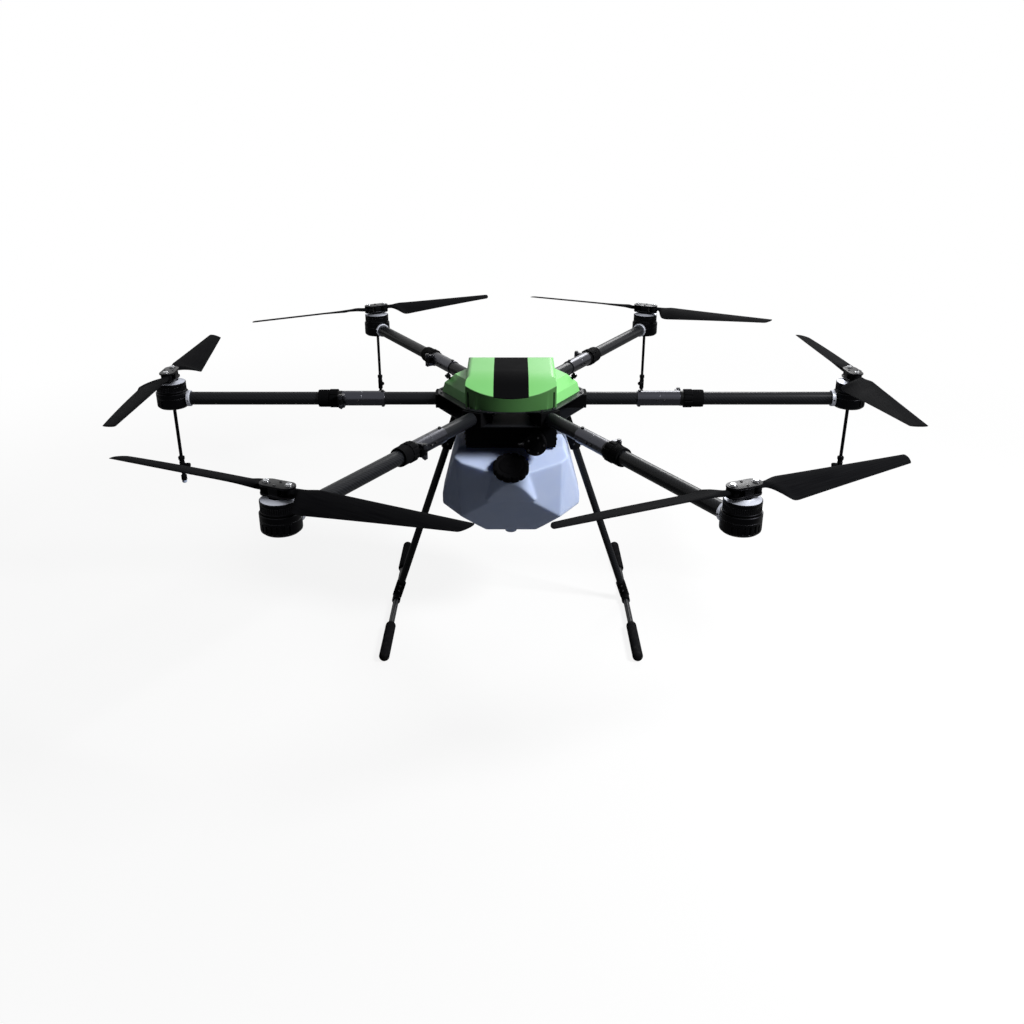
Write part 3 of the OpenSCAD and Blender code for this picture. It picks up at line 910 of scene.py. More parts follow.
def turned_by(degrees: float, axis: str = "Z") -> Matrix:
    """Matrix of a turn about one axis."""
    return Matrix.Rotation(math.radians(degrees), 4, axis)


class Shape:
    """Faces of a piece in millimetres, each with its material."""

    def __init__(self) -> None:
        """Start with no faces."""
        self.points: list[Vector] = []
        self.faces: list[tuple[int, ...]] = []
        self.materials: list[bpy.types.Material] = []

    @classmethod
    def from_mesh(cls, mesh: bpy.types.Mesh) -> Shape:
        """Take over a mesh that is in millimetres, and delete it.

        Args:
            mesh: The mesh, with its materials.

        Returns:
            The shape.
        """
        shape = cls()
        shape.points = [vertex.co.copy() for vertex in mesh.vertices]
        shape.faces = [tuple(face.vertices) for face in mesh.polygons]
        shape.materials = [mesh.materials[face.material_index] for face in mesh.polygons]
        bpy.data.meshes.remove(mesh)
        return shape

    @classmethod
    def from_modifiers(cls, holder: bpy.types.Object) -> Shape:
        """Take over what a helper object's modifiers make, and delete the helper.

        Args:
            holder: The helper, in millimetres.

        Returns:
            The shape.
        """
        bpy.context.scene.collection.objects.link(holder)
        seen = holder.evaluated_get(bpy.context.evaluated_depsgraph_get())
        made = bpy.data.meshes.new_from_object(seen)
        holder.modifiers.clear()
        bpy.data.meshes.remove(holder.data)
        return cls.from_mesh(made)

    def add(self, points: Iterable[Any], faces: Sequence[tuple[int, ...]], finish: Finish) -> Shape:
        """Add faces of one finish.

        Args:
            points: Their points.
            faces: Their corners, counted from the first of these points.
            finish: Their finish.

        Returns:
            The shape itself.
        """
        start = len(self.points)
        self.points.extend(Vector(point) for point in points)
        self.faces.extend(tuple(start + corner for corner in face) for face in faces)
        self.materials.extend([finish.material()] * len(faces))
        return self

    def take(self, other: Shape, place: Matrix | None = None) -> Shape:
        """Add another shape at a place.

        Args:
            other: The other shape.
            place: Where its origin goes, or None for no move.

        Returns:
            The shape itself.
        """
        start = len(self.points)
        self.points.extend(place @ point if place else point.copy() for point in other.points)
        self.faces.extend(tuple(start + corner for corner in face) for face in other.faces)
        self.materials.extend(other.materials)
        return self

    def repaint(self, finish: Finish, where: Callable[[Vector], bool]) -> Shape:
        """Change the finish of the faces whose middle passes a test.

        Args:
            finish: Their new finish.
            where: The test.

        Returns:
            The shape itself.
        """
        for index, face in enumerate(self.faces):
            middle = sum((self.points[corner] for corner in face), Vector()) / len(face)
            if where(middle):
                self.materials[index] = finish.material()
        return self

    def mesh(self, name: str) -> bpy.types.Mesh:
        """Make the shape a mesh in metres, smooth except at sharp edges.

        Args:
            name: The mesh's name.

        Returns:
            The mesh.
        """
        mesh = bpy.data.meshes.new(name)
        mesh.from_pydata([point * MM for point in self.points], [], self.faces)
        order = list(dict.fromkeys(self.materials))
        for material in order:
            mesh.materials.append(material)
        mesh.polygons.foreach_set("material_index", [order.index(kind) for kind in self.materials])
        mesh.shade_smooth()
        mesh.set_sharp_from_angle(angle=SMOOTH_ANGLE)
        return mesh

    def piece(self, name: str, body: str, slot: str, *nodes: str) -> bpy.types.Object:
        """Put the shape into the scene as a piece of the drone.

        Args:
            name: The piece's name.
            body: The body it moves with.
            slot: The record's material slot; not used.
            *nodes: The CAD nodes it stands for.

        Returns:
            The piece.
        """
        piece = bpy.data.objects.new(name, self.mesh(name))
        bpy.context.scene.collection.objects.link(piece)
        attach(piece, body)
        if nodes:
            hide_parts(*nodes)
        LOG.info("piece %s on %s, %d faces", name, body, len(self.faces))
        return piece


def bar(radius: float, low: float, high: float) -> list[Pair]:
    """Profile of a round bar."""
    return [(0, low), (radius, low), (radius, high), (0, high)]


def shifted(points: Iterable[Pair], radius: float, height: float) -> list[Pair]:
    """Points of a profile, moved out and up."""
    return [(radius + out, height + rise) for out, rise in points]


def lobed(lobes: int, depth: float, power: int, inside: float) -> Ripple:
    """Make the ripple of a grip, with a hollow between each two lobes.

    Args:
        lobes: Number of lobes.
        depth: Depth of the hollows.
        power: Narrowness of the hollows.
        inside: Radius up to which the profile stays round.

    Returns:
        The ripple.
    """

    def ripple(angle: float, radius: float, height: float) -> float:
        """Radius of the grip at an angle."""
        hollow = max(0.0, math.cos(angle * lobes)) ** power
        return radius - depth * hollow if radius > inside else radius

    return ripple


def softened(points: Sequence[Pair], radius: float, steps: int = 3, closed: bool = False) -> list[Pair]:
    """Round the corners of a profile or an outline.

    Args:
        points: Its corners.
        radius: Reach of the rounding from each corner.
        steps: Number of short edges in place of a corner.
        closed: True if the last point joins the first.

    Returns:
        The rounded points.
    """
    rounded: list[Pair] = []
    for index, point in enumerate(points):
        if not closed and index in (0, len(points) - 1):
            rounded.append(point)
            continue
        corner = Vector(point)
        before = Vector(points[index - 1]) - corner
        after = Vector(points[(index + 1) % len(points)]) - corner
        reach = min(radius, EDGE_SHARE * before.length, EDGE_SHARE * after.length)
        start = corner + before.normalized() * reach
        end = corner + after.normalized() * reach
        for step in range(steps + 1):
            share = step / steps
            bend = start * (1 - share) ** 2 + corner * (2 * share * (1 - share)) + end * share**2
            rounded.append((bend.x, bend.y))
    return rounded


def turned(
    profile: Sequence[Pair],
    finish: Finish,
    sides: int = 48,
    ripple: Ripple | None = None,
    ring: bool = False,
) -> Shape:
    """Turn a profile about Z.

    Args:
        profile: Radius and height of its points, so that the outside is passed on the way up.
        finish: The finish.
        sides: Number of faces round.
        ripple: Radius from the angle, the profile's radius and the height, or None for a round shape.
        ring: True if the profile is a closed loop away from the axis.

    Returns:
        The shape.
    """
    points: list[Triple] = []
    rings: list[list[int]] = []
    for radius, height in profile:
        count = sides if radius > 0 else 1
        rings.append(list(range(len(points), len(points) + count)))
        for step in range(count):
            angle = math.tau * step / sides
            reach = ripple(angle, radius, height) if ripple and radius > 0 else radius
            points.append((reach * math.cos(angle), reach * math.sin(angle), height))
    pairs = list(zip(rings, rings[1:] + rings[:1])) if ring else list(zip(rings, rings[1:]))
    faces = []
    for low, high in pairs:
        for step in range(sides if len(low) + len(high) > 2 else 0):
            after = (step + 1) % sides
            foot = (low[step % len(low)], low[after % len(low)])
            head = (high[after % len(high)], high[step % len(high)])
            faces.append(tuple(dict.fromkeys(foot + head)))
    return Shape().add(points, faces, finish)


def extruded(outline: Sequence[Pair], low: float, high: float, finish: Finish, edge: float = 0.6) -> Shape:
    """Raise an outline along Z, with rounded rims.

    Args:
        outline: Its corners, anticlockwise.
        low: Height of the bottom.
        high: Height of the top.
        finish: The finish.
        edge: Radius of the rims.

    Returns:
        The shape.
    """
    count = len(outline)
    inward = []
    for index, point in enumerate(outline):
        before = (Vector(point) - Vector(outline[index - 1])).normalized()
        after = (Vector(outline[(index + 1) % count]) - Vector(point)).normalized()
        lean = before.orthogonal() + after.orthogonal()
        inward.append(lean * (2 / max(lean.length_squared, 0.5)))
    sweep = [math.radians(30 * step) for step in range(4)]
    rims = [(edge * (1 - math.sin(turn)), low + edge * (1 - math.cos(turn))) for turn in sweep]
    rims += [(inset, high + low - height) for inset, height in reversed(rims)]
    points = []
    for inset, height in rims:
        points.extend((*(Vector(point) + lean * inset), height) for point, lean in zip(outline, inward))
    faces = [tuple(reversed(range(count))), tuple(range(len(points) - count, len(points)))]
    for level in range(len(rims) - 1):
        for step in range(count):
            after = (step + 1) % count
            start, top = level * count, (level + 1) * count
            faces.append((start + step, start + after, top + after, top + step))
    return Shape().add(points, faces, finish)


def box_outline(half_x: float, half_y: float, corner: float) -> list[Pair]:
    """Outline of a rectangle with rounded corners."""
    corners = [(-half_x, -half_y), (half_x, -half_y), (half_x, half_y), (-half_x, half_y)]
    return softened(corners, corner, 4, True)


def slot_outline(reach: float, radius: float, steps: int = 20) -> list[Pair]:
    """Outline of a slot along X.

    Args:
        reach: Distance from the middle to each end's centre.
        radius: Radius of the ends.
        steps: Number of short edges round each end.

    Returns:
        The outline.
    """
    sweep = [math.radians(180 * step / steps - 90) for step in range(steps + 1)]
    right = [(reach + radius * math.cos(turn), radius * math.sin(turn)) for turn in sweep]
    return right + [(-x, -y) for x, y in right]


class GeometryGraph(NodeGraph):
    """A Geometry Nodes tree with named sizes, which grows plain meshes."""

    def __init__(self, name: str, sizes: dict[str, str]) -> None:
        """Make a tree whose inputs are its geometry, its sizes and its material.

        Args:
            name: The tree's name.
            sizes: Kind of socket of each named size.
        """
        super().__init__(bpy.data.node_groups.new(name, "GeometryNodeTree"))
        face = self.tree.interface
        face.new_socket("Geometry", in_out="OUTPUT", socket_type="NodeSocketGeometry")
        face.new_socket("Geometry", in_out="INPUT", socket_type="NodeSocketGeometry")
        kinds = {label: f"NodeSocket{kind}" for label, kind in sizes.items()}
        kinds["Material"] = "NodeSocketMaterial"
        self.keys = {
            label: face.new_socket(label, in_out="INPUT", socket_type=kind).identifier
            for label, kind in kinds.items()
        }
        self.entry = self.node("NodeGroupInput")
        self.exit = self.node("NodeGroupOutput")

    def size(self, label: str) -> Signal:
        """One of the tree's inputs."""
        return Signal(self, self.entry.outputs[label])

    def close(self, shape: Signal) -> None:
        """End the tree with real geometry of the chosen material.

        Args:
            shape: The geometry, with its instances.
        """
        real = self.signal("GeometryNodeRealizeInstances", 0, None, {0: shape})
        sockets = {"Geometry": real, "Material": self.size("Material")}
        self.feed(self.exit.inputs[0], self.signal("GeometryNodeSetMaterial", 0, None, sockets))

    def grow(self, finish: Finish, sizes: dict[str, Any], start: bpy.types.Mesh | None = None) -> Shape:
        """Run the tree.

        Args:
            finish: The finish of what it makes.
            sizes: Value of each named size.
            start: The mesh it starts from, or None for an empty one.

        Returns:
            The result as a plain shape.
        """
        holder = bpy.data.objects.new("growing", start or bpy.data.meshes.new("growing"))
        modifier = holder.modifiers.new("tree", "NODES")
        modifier.node_group = self.tree
        for label, value in (sizes | {"Material": finish.material()}).items():
            modifier[self.keys[label]] = value
        return Shape.from_modifiers(holder)


class ScrewField:
    """Socket-head screws on chosen places, each facing its own way. Sizes are shares of a head's own."""

    head_sides = 32
    barrel_tall = 0.8
    crown_foot = 0.79
    crown_tall = 0.22
    crown_radius = 0.86
    recess_foot = 0.45
    recess_radius = 0.52

    def __init__(self) -> None:
        """Build the tree: a round head with a six-sided recess on every point."""
        sizes = {"Head radius": "Float", "Head height": "Float"}
        graph = self.graph = GeometryGraph("socket_screws", sizes)
        radius, height = graph.size("Head radius"), graph.size("Head height")
        tip, hole = radius * self.crown_radius, radius * self.recess_radius
        barrel = self.drum(self.head_sides, radius, radius, height * self.barrel_tall, 0.0)
        crown = self.drum(self.head_sides, radius, tip, height * self.crown_tall, height * self.crown_foot)
        recess = self.drum(6, hole, hole, height, height * self.recess_foot)
        cut = graph.node("GeometryNodeMeshBoolean", {"operation": "DIFFERENCE", "solver": "EXACT"})
        whole = graph.node("GeometryNodeMeshBoolean", {"operation": "UNION", "solver": "EXACT"})
        for part in (barrel, crown):
            graph.feed(whole.inputs["Mesh 2"], part)
        graph.feed(cut.inputs["Mesh 1"], Signal(graph, whole.outputs[0]))
        graph.feed(cut.inputs["Mesh 2"], recess)
        options = {"data_type": "FLOAT_VECTOR"}
        facing = graph.signal("GeometryNodeInputNamedAttribute", 0, options, {"Name": "facing"})
        lean = graph.signal("FunctionNodeAlignRotationToVector", 0, {"axis": "Z"}, {"Vector": facing})
        head = Signal(graph, cut.outputs[0])
        sockets = {"Points": graph.size("Geometry"), "Instance": head, "Rotation": lean}
        graph.close(graph.signal("GeometryNodeInstanceOnPoints", 0, None, sockets))

    def drum(self, sides: int, low: Any, high: Any, tall: Any, rise: Any) -> Signal:
        """Add a drum or cone that stands on a height.

        Args:
            sides: Number of faces round.
            low: Radius at its foot.
            high: Radius at its top.
            tall: Its height.
            rise: Height of its foot.

        Returns:
            Its geometry.
        """
        sockets = {"Vertices": sides, "Radius Top": high, "Radius Bottom": low, "Depth": tall}
        cone = self.graph.signal("GeometryNodeMeshCone", 0, {"fill_type": "NGON"}, sockets)
        lift = self.graph.vector(0.0, 0.0, rise)
        return self.graph.signal("GeometryNodeTransform", 0, None, {"Geometry": cone, "Translation": lift})

    def on(self, spots: Sequence[tuple[Matrix, float]], height: float, finish: Finish) -> Shape:
        """Set screws of one height on places whose Z points out of the surface.

        Args:
            spots: Place and head radius of each screw.
            height: Height of the heads.
            finish: Their finish.

        Returns:
            The screws.
        """
        screws = Shape()
        for radius in sorted({radius for _, radius in spots}):
            places = [place for place, size in spots if size == radius]
            start = bpy.data.meshes.new("screw_places")
            start.from_pydata([place.translation for place in places], [], [])
            facing = start.attributes.new("facing", "FLOAT_VECTOR", "POINT")
            ways = np.array([place.to_3x3() @ Vector((0, 0, 1)) for place in places], dtype=np.float32)
            facing.data.foreach_set("vector", ways.ravel())
            screws.take(self.graph.grow(finish, {"Head radius": radius, "Head height": height}, start))
        return screws


class RibRing:
    """Half-round ribs side by side round an axis."""

    rib_sides = 10

    def __init__(self) -> None:
        """Build the tree: upright rods on a circle."""
        lengths = ("Ring radius", "Rib radius", "Foot", "Top")
        sizes = {"Count": "Int"} | dict.fromkeys(lengths, "Float")
        graph = self.graph = GeometryGraph("rib_ring", sizes)
        foot, top = graph.size("Foot"), graph.size("Top")
        sockets = {"Vertices": graph.size("Count"), "Radius": graph.size("Ring radius")}
        circle = graph.signal("GeometryNodeMeshCircle", 0, None, sockets)
        sockets = {"Vertices": self.rib_sides, "Radius": graph.size("Rib radius"), "Depth": top - foot}
        rod = graph.signal("GeometryNodeMeshCylinder", 0, {"fill_type": "NGON"}, sockets)
        lift = graph.vector(0.0, 0.0, (foot + top) * 0.5)
        rod = graph.signal("GeometryNodeTransform", 0, None, {"Geometry": rod, "Translation": lift})
        sockets = {"Points": circle, "Instance": rod}
        graph.close(graph.signal("GeometryNodeInstanceOnPoints", 0, None, sockets))

    def ribs(self, count: int, ring: float, rib: float, foot: float, top: float, finish: Finish) -> Shape:
        """Make a ring of ribs."""
        sizes = {"Count": count, "Ring radius": ring, "Rib radius": rib, "Foot": foot, "Top": top}
        return self.graph.grow(finish, sizes)


@dataclass(frozen=True)
class CadFinishes:
    """Gives each CAD node that stays in view its finish."""

    palette: Palette
    nodes: dict[str, bpy.types.Object]

    def dress(self) -> None:
        """Assign every node's material."""
        look = self.palette
        fixed = {
            "hub_plates": look.plate_weave,
            "arm_clamps": look.black,
            "inner_tubes": look.arm_weave,
            "fold_sockets": look.gunmetal,
            "fold_pins": look.dark_steel,
            "flight_controller": look.charcoal,
            "battery_tray": look.black,
            "battery_pack": look.charcoal,
            "tank_hangers": look.anodised,
            "leg_brackets": look.black,
            "landing_legs": look.leg_weave,
            "leg_tees": look.black,
            "skid_tubes": look.skid_weave,
        }
        for name, finish in fixed.items():
            self.assign(name, finish)
        for station in Station:
            self.assign(station.named("arm"), look.knuckle_weave)
            self.assign(station.named("lock_collar"), look.black)

    def assign(self, node: str, finish: Finish) -> None:
        """Put one finish on a node's slots.

        Args:
            node: The CAD node.
            finish: Its finish.
        """
        slots = self.nodes[node].data.materials
        for index in range(len(slots)):
            slots[index] = finish.material()
        LOG.info("finish %s on %s", finish.name, node)


@dataclass(frozen=True)
class Kit:
    """What every sub-assembly builds with."""

    layout: Layout
    look: Palette
    screws: ScrewField
    ribs: RibRing
    nodes: dict[str, bpy.types.Object]

    def at_motors(self, shape: Shape, node: str, slot: str, stations: Iterable[Station] = Station) -> None:
        """Put a copy of a shape at each motor, as a piece of the motor's arm.

        Args:
            shape: The shape, in the frame of an arm's motor.
            node: The CAD node that it stands for, without the arm's name.
            slot: The record's material slot.
            stations: The arms that get one.
        """
        for station in stations:
            name = station.named(node)
            place = self.layout.on_arm(station, self.layout.motor_reach)
            Shape().take(shape, place).piece(f"{name}_dressed", station.named("arm"), slot, name)


class Side(Enum):
    """The two blades of a rotor, by the name that the frame gives them."""

    A = "blade_a"
    B = "blade_b"

    @property
    def turn(self) -> Matrix:
        """Turn of the blade from the propeller's direction."""
        return turned_by(0 if self is Side.A else 180)


@dataclass(frozen=True)
class Propeller:
    """Folding blades: a twisted loft from a round root to a raked tip."""

    kit: Kit
    plane: float = 66.0
    start: float = 7.0
    end: float = 403.0
    root_radius: float = 13.5
    root_height: float = 14.0
    root_edge: float = 1.2
    lead: Triple = (10.0, 20.0, 13.0)
    trail: Triple = (10.0, 66.0, 24.0)
    lead_ramp: float = 0.14
    trail_ramp: Pair = (0.025, 0.11)
    pitch: Pair = (18.0, 7.0)
    pitch_ramp: float = 0.15
    thick: Triple = (12.0, 6.0, 2.4)
    thick_ramp: float = 0.3
    rake: float = 16.0
    camber: float = 0.035
    tip_round: float = 0.02
    tip_fill: float = 0.02
    weld: float = 0.002
    stations: int = 64
    around: int = 37

    def tree(self) -> GeometryGraph:
        """Build the loft's tree, with the blade along X and its leading edge towards +Y.

        Returns:
            The tree.
        """
        sizes = dict.fromkeys(("Span start", "Span end", "Tip rake"), "Float")
        graph = GeometryGraph("blade_loft", sizes)
        sockets = {"Vertices X": self.stations, "Vertices Y": self.around}
        grid = graph.signal("GeometryNodeMeshGrid", 0, None, sockets)
        index = graph.signal("GeometryNodeInputIndex")
        row = (index / self.around + 0.001).floor()
        step = (row - 1).math("MAXIMUM", 0).math("MINIMUM", self.stations - 3) / (self.stations - 3)
        open_ring = (row > 0.5) * (row < self.stations - 1.5)
        t = step.fade(0, 1)
        turn = (index - row * self.around) * (math.tau / (self.around - 1))
        across = 0.5 - turn.cosine() * 0.5
        taper = ((1 - t) / self.tip_round).math("MINIMUM", 1)
        fill = (1 - (1 - taper) ** 2).math("MAXIMUM", self.tip_fill) ** 0.5 * open_ring
        ahead = graph.mix(self.lead[0], self.lead[1], t.fade(0, self.lead_ramp))
        narrowing = (self.lead[2] - self.lead[1]) * (t - self.lead_ramp).math("MAXIMUM", 0)
        ahead = ahead + narrowing / (1 - self.lead_ramp)
        sweep = self.trail[1] + (self.trail[2] - self.trail[1]) * t
        behind = graph.mix(self.trail[0], sweep, t.fade(*self.trail_ramp))
        middle = (ahead - behind) * 0.5
        chord = (ahead + behind) * fill
        depth = graph.mix(self.thick[0], self.thick[1], t.fade(0, self.thick_ramp))
        depth = depth + (self.thick[2] - depth) * t
        # Aerofoil with a round nose and a thin tail, 1 at its thickest.
        form = 2.97 * across**0.5 - 1.26 * across - 3.52 * across**2 + 2.84 * across**3 - 0.99 * across**4
        upper = (turn < math.pi) * 2 - 1
        rise = depth * fill * form * upper * 0.5 + across * (1 - across) * 4 * self.camber * chord
        pitch = (self.pitch[0] + (self.pitch[1] - self.pitch[0]) * t) * t.fade(0, self.pitch_ramp)
        pitch = pitch * (math.pi / 180)
        reach = middle + (0.5 - across) * chord
        first, last = graph.size("Span start"), graph.size("Span end")
        share = 0.5 + (across - 0.5) * fill
        out = first + (last - first) * t - graph.size("Tip rake") * share * t**4
        side = reach * pitch.cosine() - rise * pitch.sine()
        height = reach * pitch.sine() + rise * pitch.cosine()
        place = graph.vector(out, side, height)
        skin = graph.signal("GeometryNodeSetPosition", 0, None, {"Geometry": grid, "Position": place})
        skin = graph.signal("GeometryNodeMergeByDistance", 0, None, {"Geometry": skin, "Distance": self.weld})
        graph.close(graph.signal("GeometryNodeFlipFaces", 0, None, {"Mesh": skin}))
        return graph

    def build(self) -> None:
        """Make the twelve blades."""
        look = self.kit.look
        sizes = {"Span start": self.start, "Span end": self.end, "Tip rake": self.rake}
        half = self.root_height / 2
        boss = softened(bar(self.root_radius, -half, half), self.root_edge)
        blade = self.tree().grow(look.blade, sizes).take(turned(boss, look.blade, 40))
        for station in Station:
            for side in Side:
                place = self.kit.layout.on_prop(station, self.plane)
                place = place @ side.turn @ moved(self.kit.layout.pivot_reach)
                name = station.named(side.value)
                Shape().take(blade, place).piece(f"{name}_skin", name, "blade_composite", name)


@dataclass(frozen=True)
class Rotor:
    """Motor bell with its shaft, and the prop clamp bolted on top."""

    kit: Kit
    radius: float = 39.0
    foot: float = 21.5
    top: float = 51.0
    wall: float = 5.5
    roof: float = 5.0
    shaft_radius: float = 5.0
    shaft_foot: float = -11.0
    neck_radius: float = 15.0
    groove: tuple[Pair, ...] = ((0.0, 3.2), (-0.9, 3.8), (-0.9, 17.0), (0.0, 17.6))
    shoulder: tuple[Pair, ...] = ((0.0, -5.4), (-0.8, -4.6), (-2.0, -4.2))
    cone_end: tuple[Pair, ...] = ((6.0, -0.4), (5.0, 0.3), (0.0, 0.3))
    bell_edge: float = 0.35
    rib_count: int = 54
    rib_radius: float = 0.75
    rib_range: Pair = (4.2, 16.6)
    plate_reach: float = 21.0
    plate_radius: float = 19.0
    plate_thick: float = 4.5
    plate_edge: float = 0.9
    lower_plate: float = 54.0
    upper_plate: float = 73.5
    sink: float = 1.0
    block_half: Pair = (11.0, 18.6)
    block_corner: float = 2.0
    fine_edge: float = 0.3
    washer_radius: float = 9.0
    washer_thick: float = 0.9
    bolt_radius: float = 6.0
    bolt_height: float = 3.6
    screw_side: float = 11.0
    screw_radius: float = 2.9
    screw_height: float = 1.8

    def bell(self) -> Shape:
        """Turn the bell: black sides and a machined cone on top, painted pale alloy to stand for the bright
        reflection on its top.

        Returns:
            The bell.
        """
        look = self.kit.look
        r, top, foot, shaft = self.radius, self.top, self.foot, self.shaft_radius
        bore, ceiling, neck_top = r - self.wall, top - self.roof, self.lower_plate + self.sink
        profile = [(0, self.shaft_foot), (shaft, self.shaft_foot), (shaft, ceiling)]
        profile += [(bore, ceiling), (bore, foot), (r, foot), *shifted(self.groove, r, foot)]
        profile += shifted(self.shoulder, r, top) + shifted(self.cone_end, self.neck_radius, top)
        profile += [(self.neck_radius, neck_top), (0, neck_top)]
        bell = turned(softened(profile, self.bell_edge, 2), look.anodised, 72)
        # Painted reflection: the top cone gets pale alloy where the bell's top shines bright.
        bell.repaint(look.alloy, self.is_painted_reflection_top)
        ring = r + self.groove[1][0]
        ends = (foot + rise for rise in self.rib_range)
        return bell.take(self.kit.ribs.ribs(self.rib_count, ring, self.rib_radius, *ends, look.anodised))

    def is_painted_reflection_top(self, middle: Vector) -> bool:
        """Tell the faces of the bell's top cone, painted pale alloy as its reflection.

        Args:
            middle: Middle of a face.

        Returns:
            True on the cone.
        """
        (outer, foot), (inner, _) = self.shoulder[-1], self.cone_end[0]
        out = math.hypot(middle.x, middle.y)
        above = middle.z > self.top + foot - 0.1
        return above and self.neck_radius + inner - 0.5 < out < self.radius + outer + 0.2

    def clamp(self) -> Shape:
        """Make the prop clamp along X, with its bolts and screws.

        Returns:
            The clamp.
        """
        look, kit = self.kit.look, self.kit
        outline = slot_outline(self.plate_reach, self.plate_radius)
        clamp = Shape()
        for foot in (self.lower_plate, self.upper_plate):
            clamp.take(extruded(outline, foot, foot + self.plate_thick, look.anodised, self.plate_edge))
        block = box_outline(*self.block_half, self.block_corner)
        ends = (self.lower_plate + self.sink, self.upper_plate + self.sink)
        clamp.take(extruded(block, *ends, look.anodised, self.fine_edge))
        top = self.upper_plate + self.plate_thick
        washer = softened(bar(self.washer_radius, 0, self.washer_thick), self.fine_edge, 2)
        bolts, screws = [], []
        for side in (-1, 1):
            place = moved(side * kit.layout.pivot_reach, 0, top)
            clamp.take(turned(washer, look.dark_steel, 40), place)
            bolts.append((place @ moved(z=self.washer_thick), self.bolt_radius))
            screws.append((moved(0, side * self.screw_side, top), self.screw_radius))
        clamp.take(kit.screws.on(bolts, self.bolt_height, look.steel))
        return clamp.take(kit.screws.on(screws, self.screw_height, look.dark_steel))

    def build(self) -> None:
        """Make the six rotors, with their clamps along the blades."""
        rotor = self.bell().take(self.clamp())
        for station in Station:
            name = station.named("rotor")
            dressed = Shape().take(rotor, self.kit.layout.on_prop(station))
            dressed.piece(f"{name}_dressed", name, "anodised", name)


@dataclass(frozen=True)
class MotorBase:
    """Round base cup on the arm's end, with cooling slots and the stator on top."""

    kit: Kit
    radius: float = 42.0
    foot: float = -22.0
    top: float = 20.5
    chamfer: float = 4.0
    rim: float = 1.2
    groove: tuple[Pair, ...] = ((0.0, 6.2), (-1.0, 6.8), (-1.0, 8.2), (0.0, 8.8))
    stator_radius: float = 29.0
    stator_top: float = 43.0
    bore: float = 5.1
    bore_foot: float = -12.0
    slot_count: int = 9
    slot_pitch: float = 16.0
    slot_half: float = 2.1
    slot_depth: float = 3.6
    slot_range: Pair = (-14.5, 1.5)
    ring_reach: Pair = (-50.0, -40.5)
    ring_radius: float = 21.5
    ring_edge: float = 0.8
    tube_radius: float = 17.6
    foot_screws: int = 4
    foot_screw_circle: float = 26.0
    foot_screw_radius: float = 3.4
    ring_screw_reach: float = -45.5
    ring_screw_rise: float = 21.0
    ring_screw_radius: float = 2.2
    screw_height: float = 2.2

    def slotted(self, angle: float, radius: float, height: float) -> float:
        """Radius of the base's wall, lower inside the cooling slots of its outer half.

        Args:
            angle: Angle about the motor axis, in radians.
            radius: Radius of the profile there.
            height: Height above the arm axis.

        Returns:
            The radius.
        """
        off = math.degrees(math.remainder(angle, math.tau))
        slot = round(off / self.slot_pitch)
        inside = abs(off - slot * self.slot_pitch) < self.slot_half and abs(slot) <= self.slot_count // 2
        low, high = self.slot_range
        return radius - self.slot_depth if inside and low < height < high else radius

    def screw_spots(self) -> list[tuple[Matrix, float]]:
        """Place the screws under the foot and at the sides of the ring.

        Returns:
            Place and head radius of each screw.
        """
        spots = []
        for step in range(self.foot_screws):
            turn = turned_by(45 + 360 / self.foot_screws * step)
            place = turn @ moved(self.foot_screw_circle, 0, self.foot) @ DOWN
            spots.append((place, self.foot_screw_radius))
        for way in (-90, 90):
            place = moved(self.ring_screw_reach) @ turned_by(way, "X") @ moved(z=self.ring_screw_rise)
            spots.append((place, self.ring_screw_radius))
        return spots

    def build(self) -> None:
        """Make the six bases."""
        look, kit = self.kit.look, self.kit
        r, (low, high) = self.radius, self.slot_range
        profile = [(0, self.foot), (r - self.chamfer - 1, self.foot), (r - 0.6, self.foot + self.chamfer)]
        profile += [(r, low - 0.6), (r, low + 0.1), (r, high - 0.1), (r, high + 0.6)]
        profile += [*shifted(self.groove, r, 0), (r, self.top - self.rim), (r - self.rim, self.top)]
        profile += [(self.stator_radius, self.top), (self.stator_radius, self.stator_top)]
        profile += [(self.bore, self.stator_top), (self.bore, self.bore_foot), (0, self.bore_foot)]
        base = turned(profile, look.anodised, 180, self.slotted)
        inner, outer = self.ring_reach
        ring = [(self.tube_radius, inner), (self.ring_radius, inner), (self.ring_radius, outer)]
        ring = softened([*ring, (self.tube_radius, outer)], self.ring_edge, 3, True)
        base.take(turned(ring, look.alloy, 56, ring=True), ALONG_X)
        base.take(kit.screws.on(self.screw_spots(), self.screw_height, look.dark_steel))
        kit.at_motors(base, "motor_base", "anodised")


def hexagonal(angle: float, radius: float, height: float) -> float:
    """Radius of a six-sided bar, from its corner radius."""
    return radius * math.cos(SECTOR / 2) / math.cos((angle + SECTOR / 2) % SECTOR - SECTOR / 2)


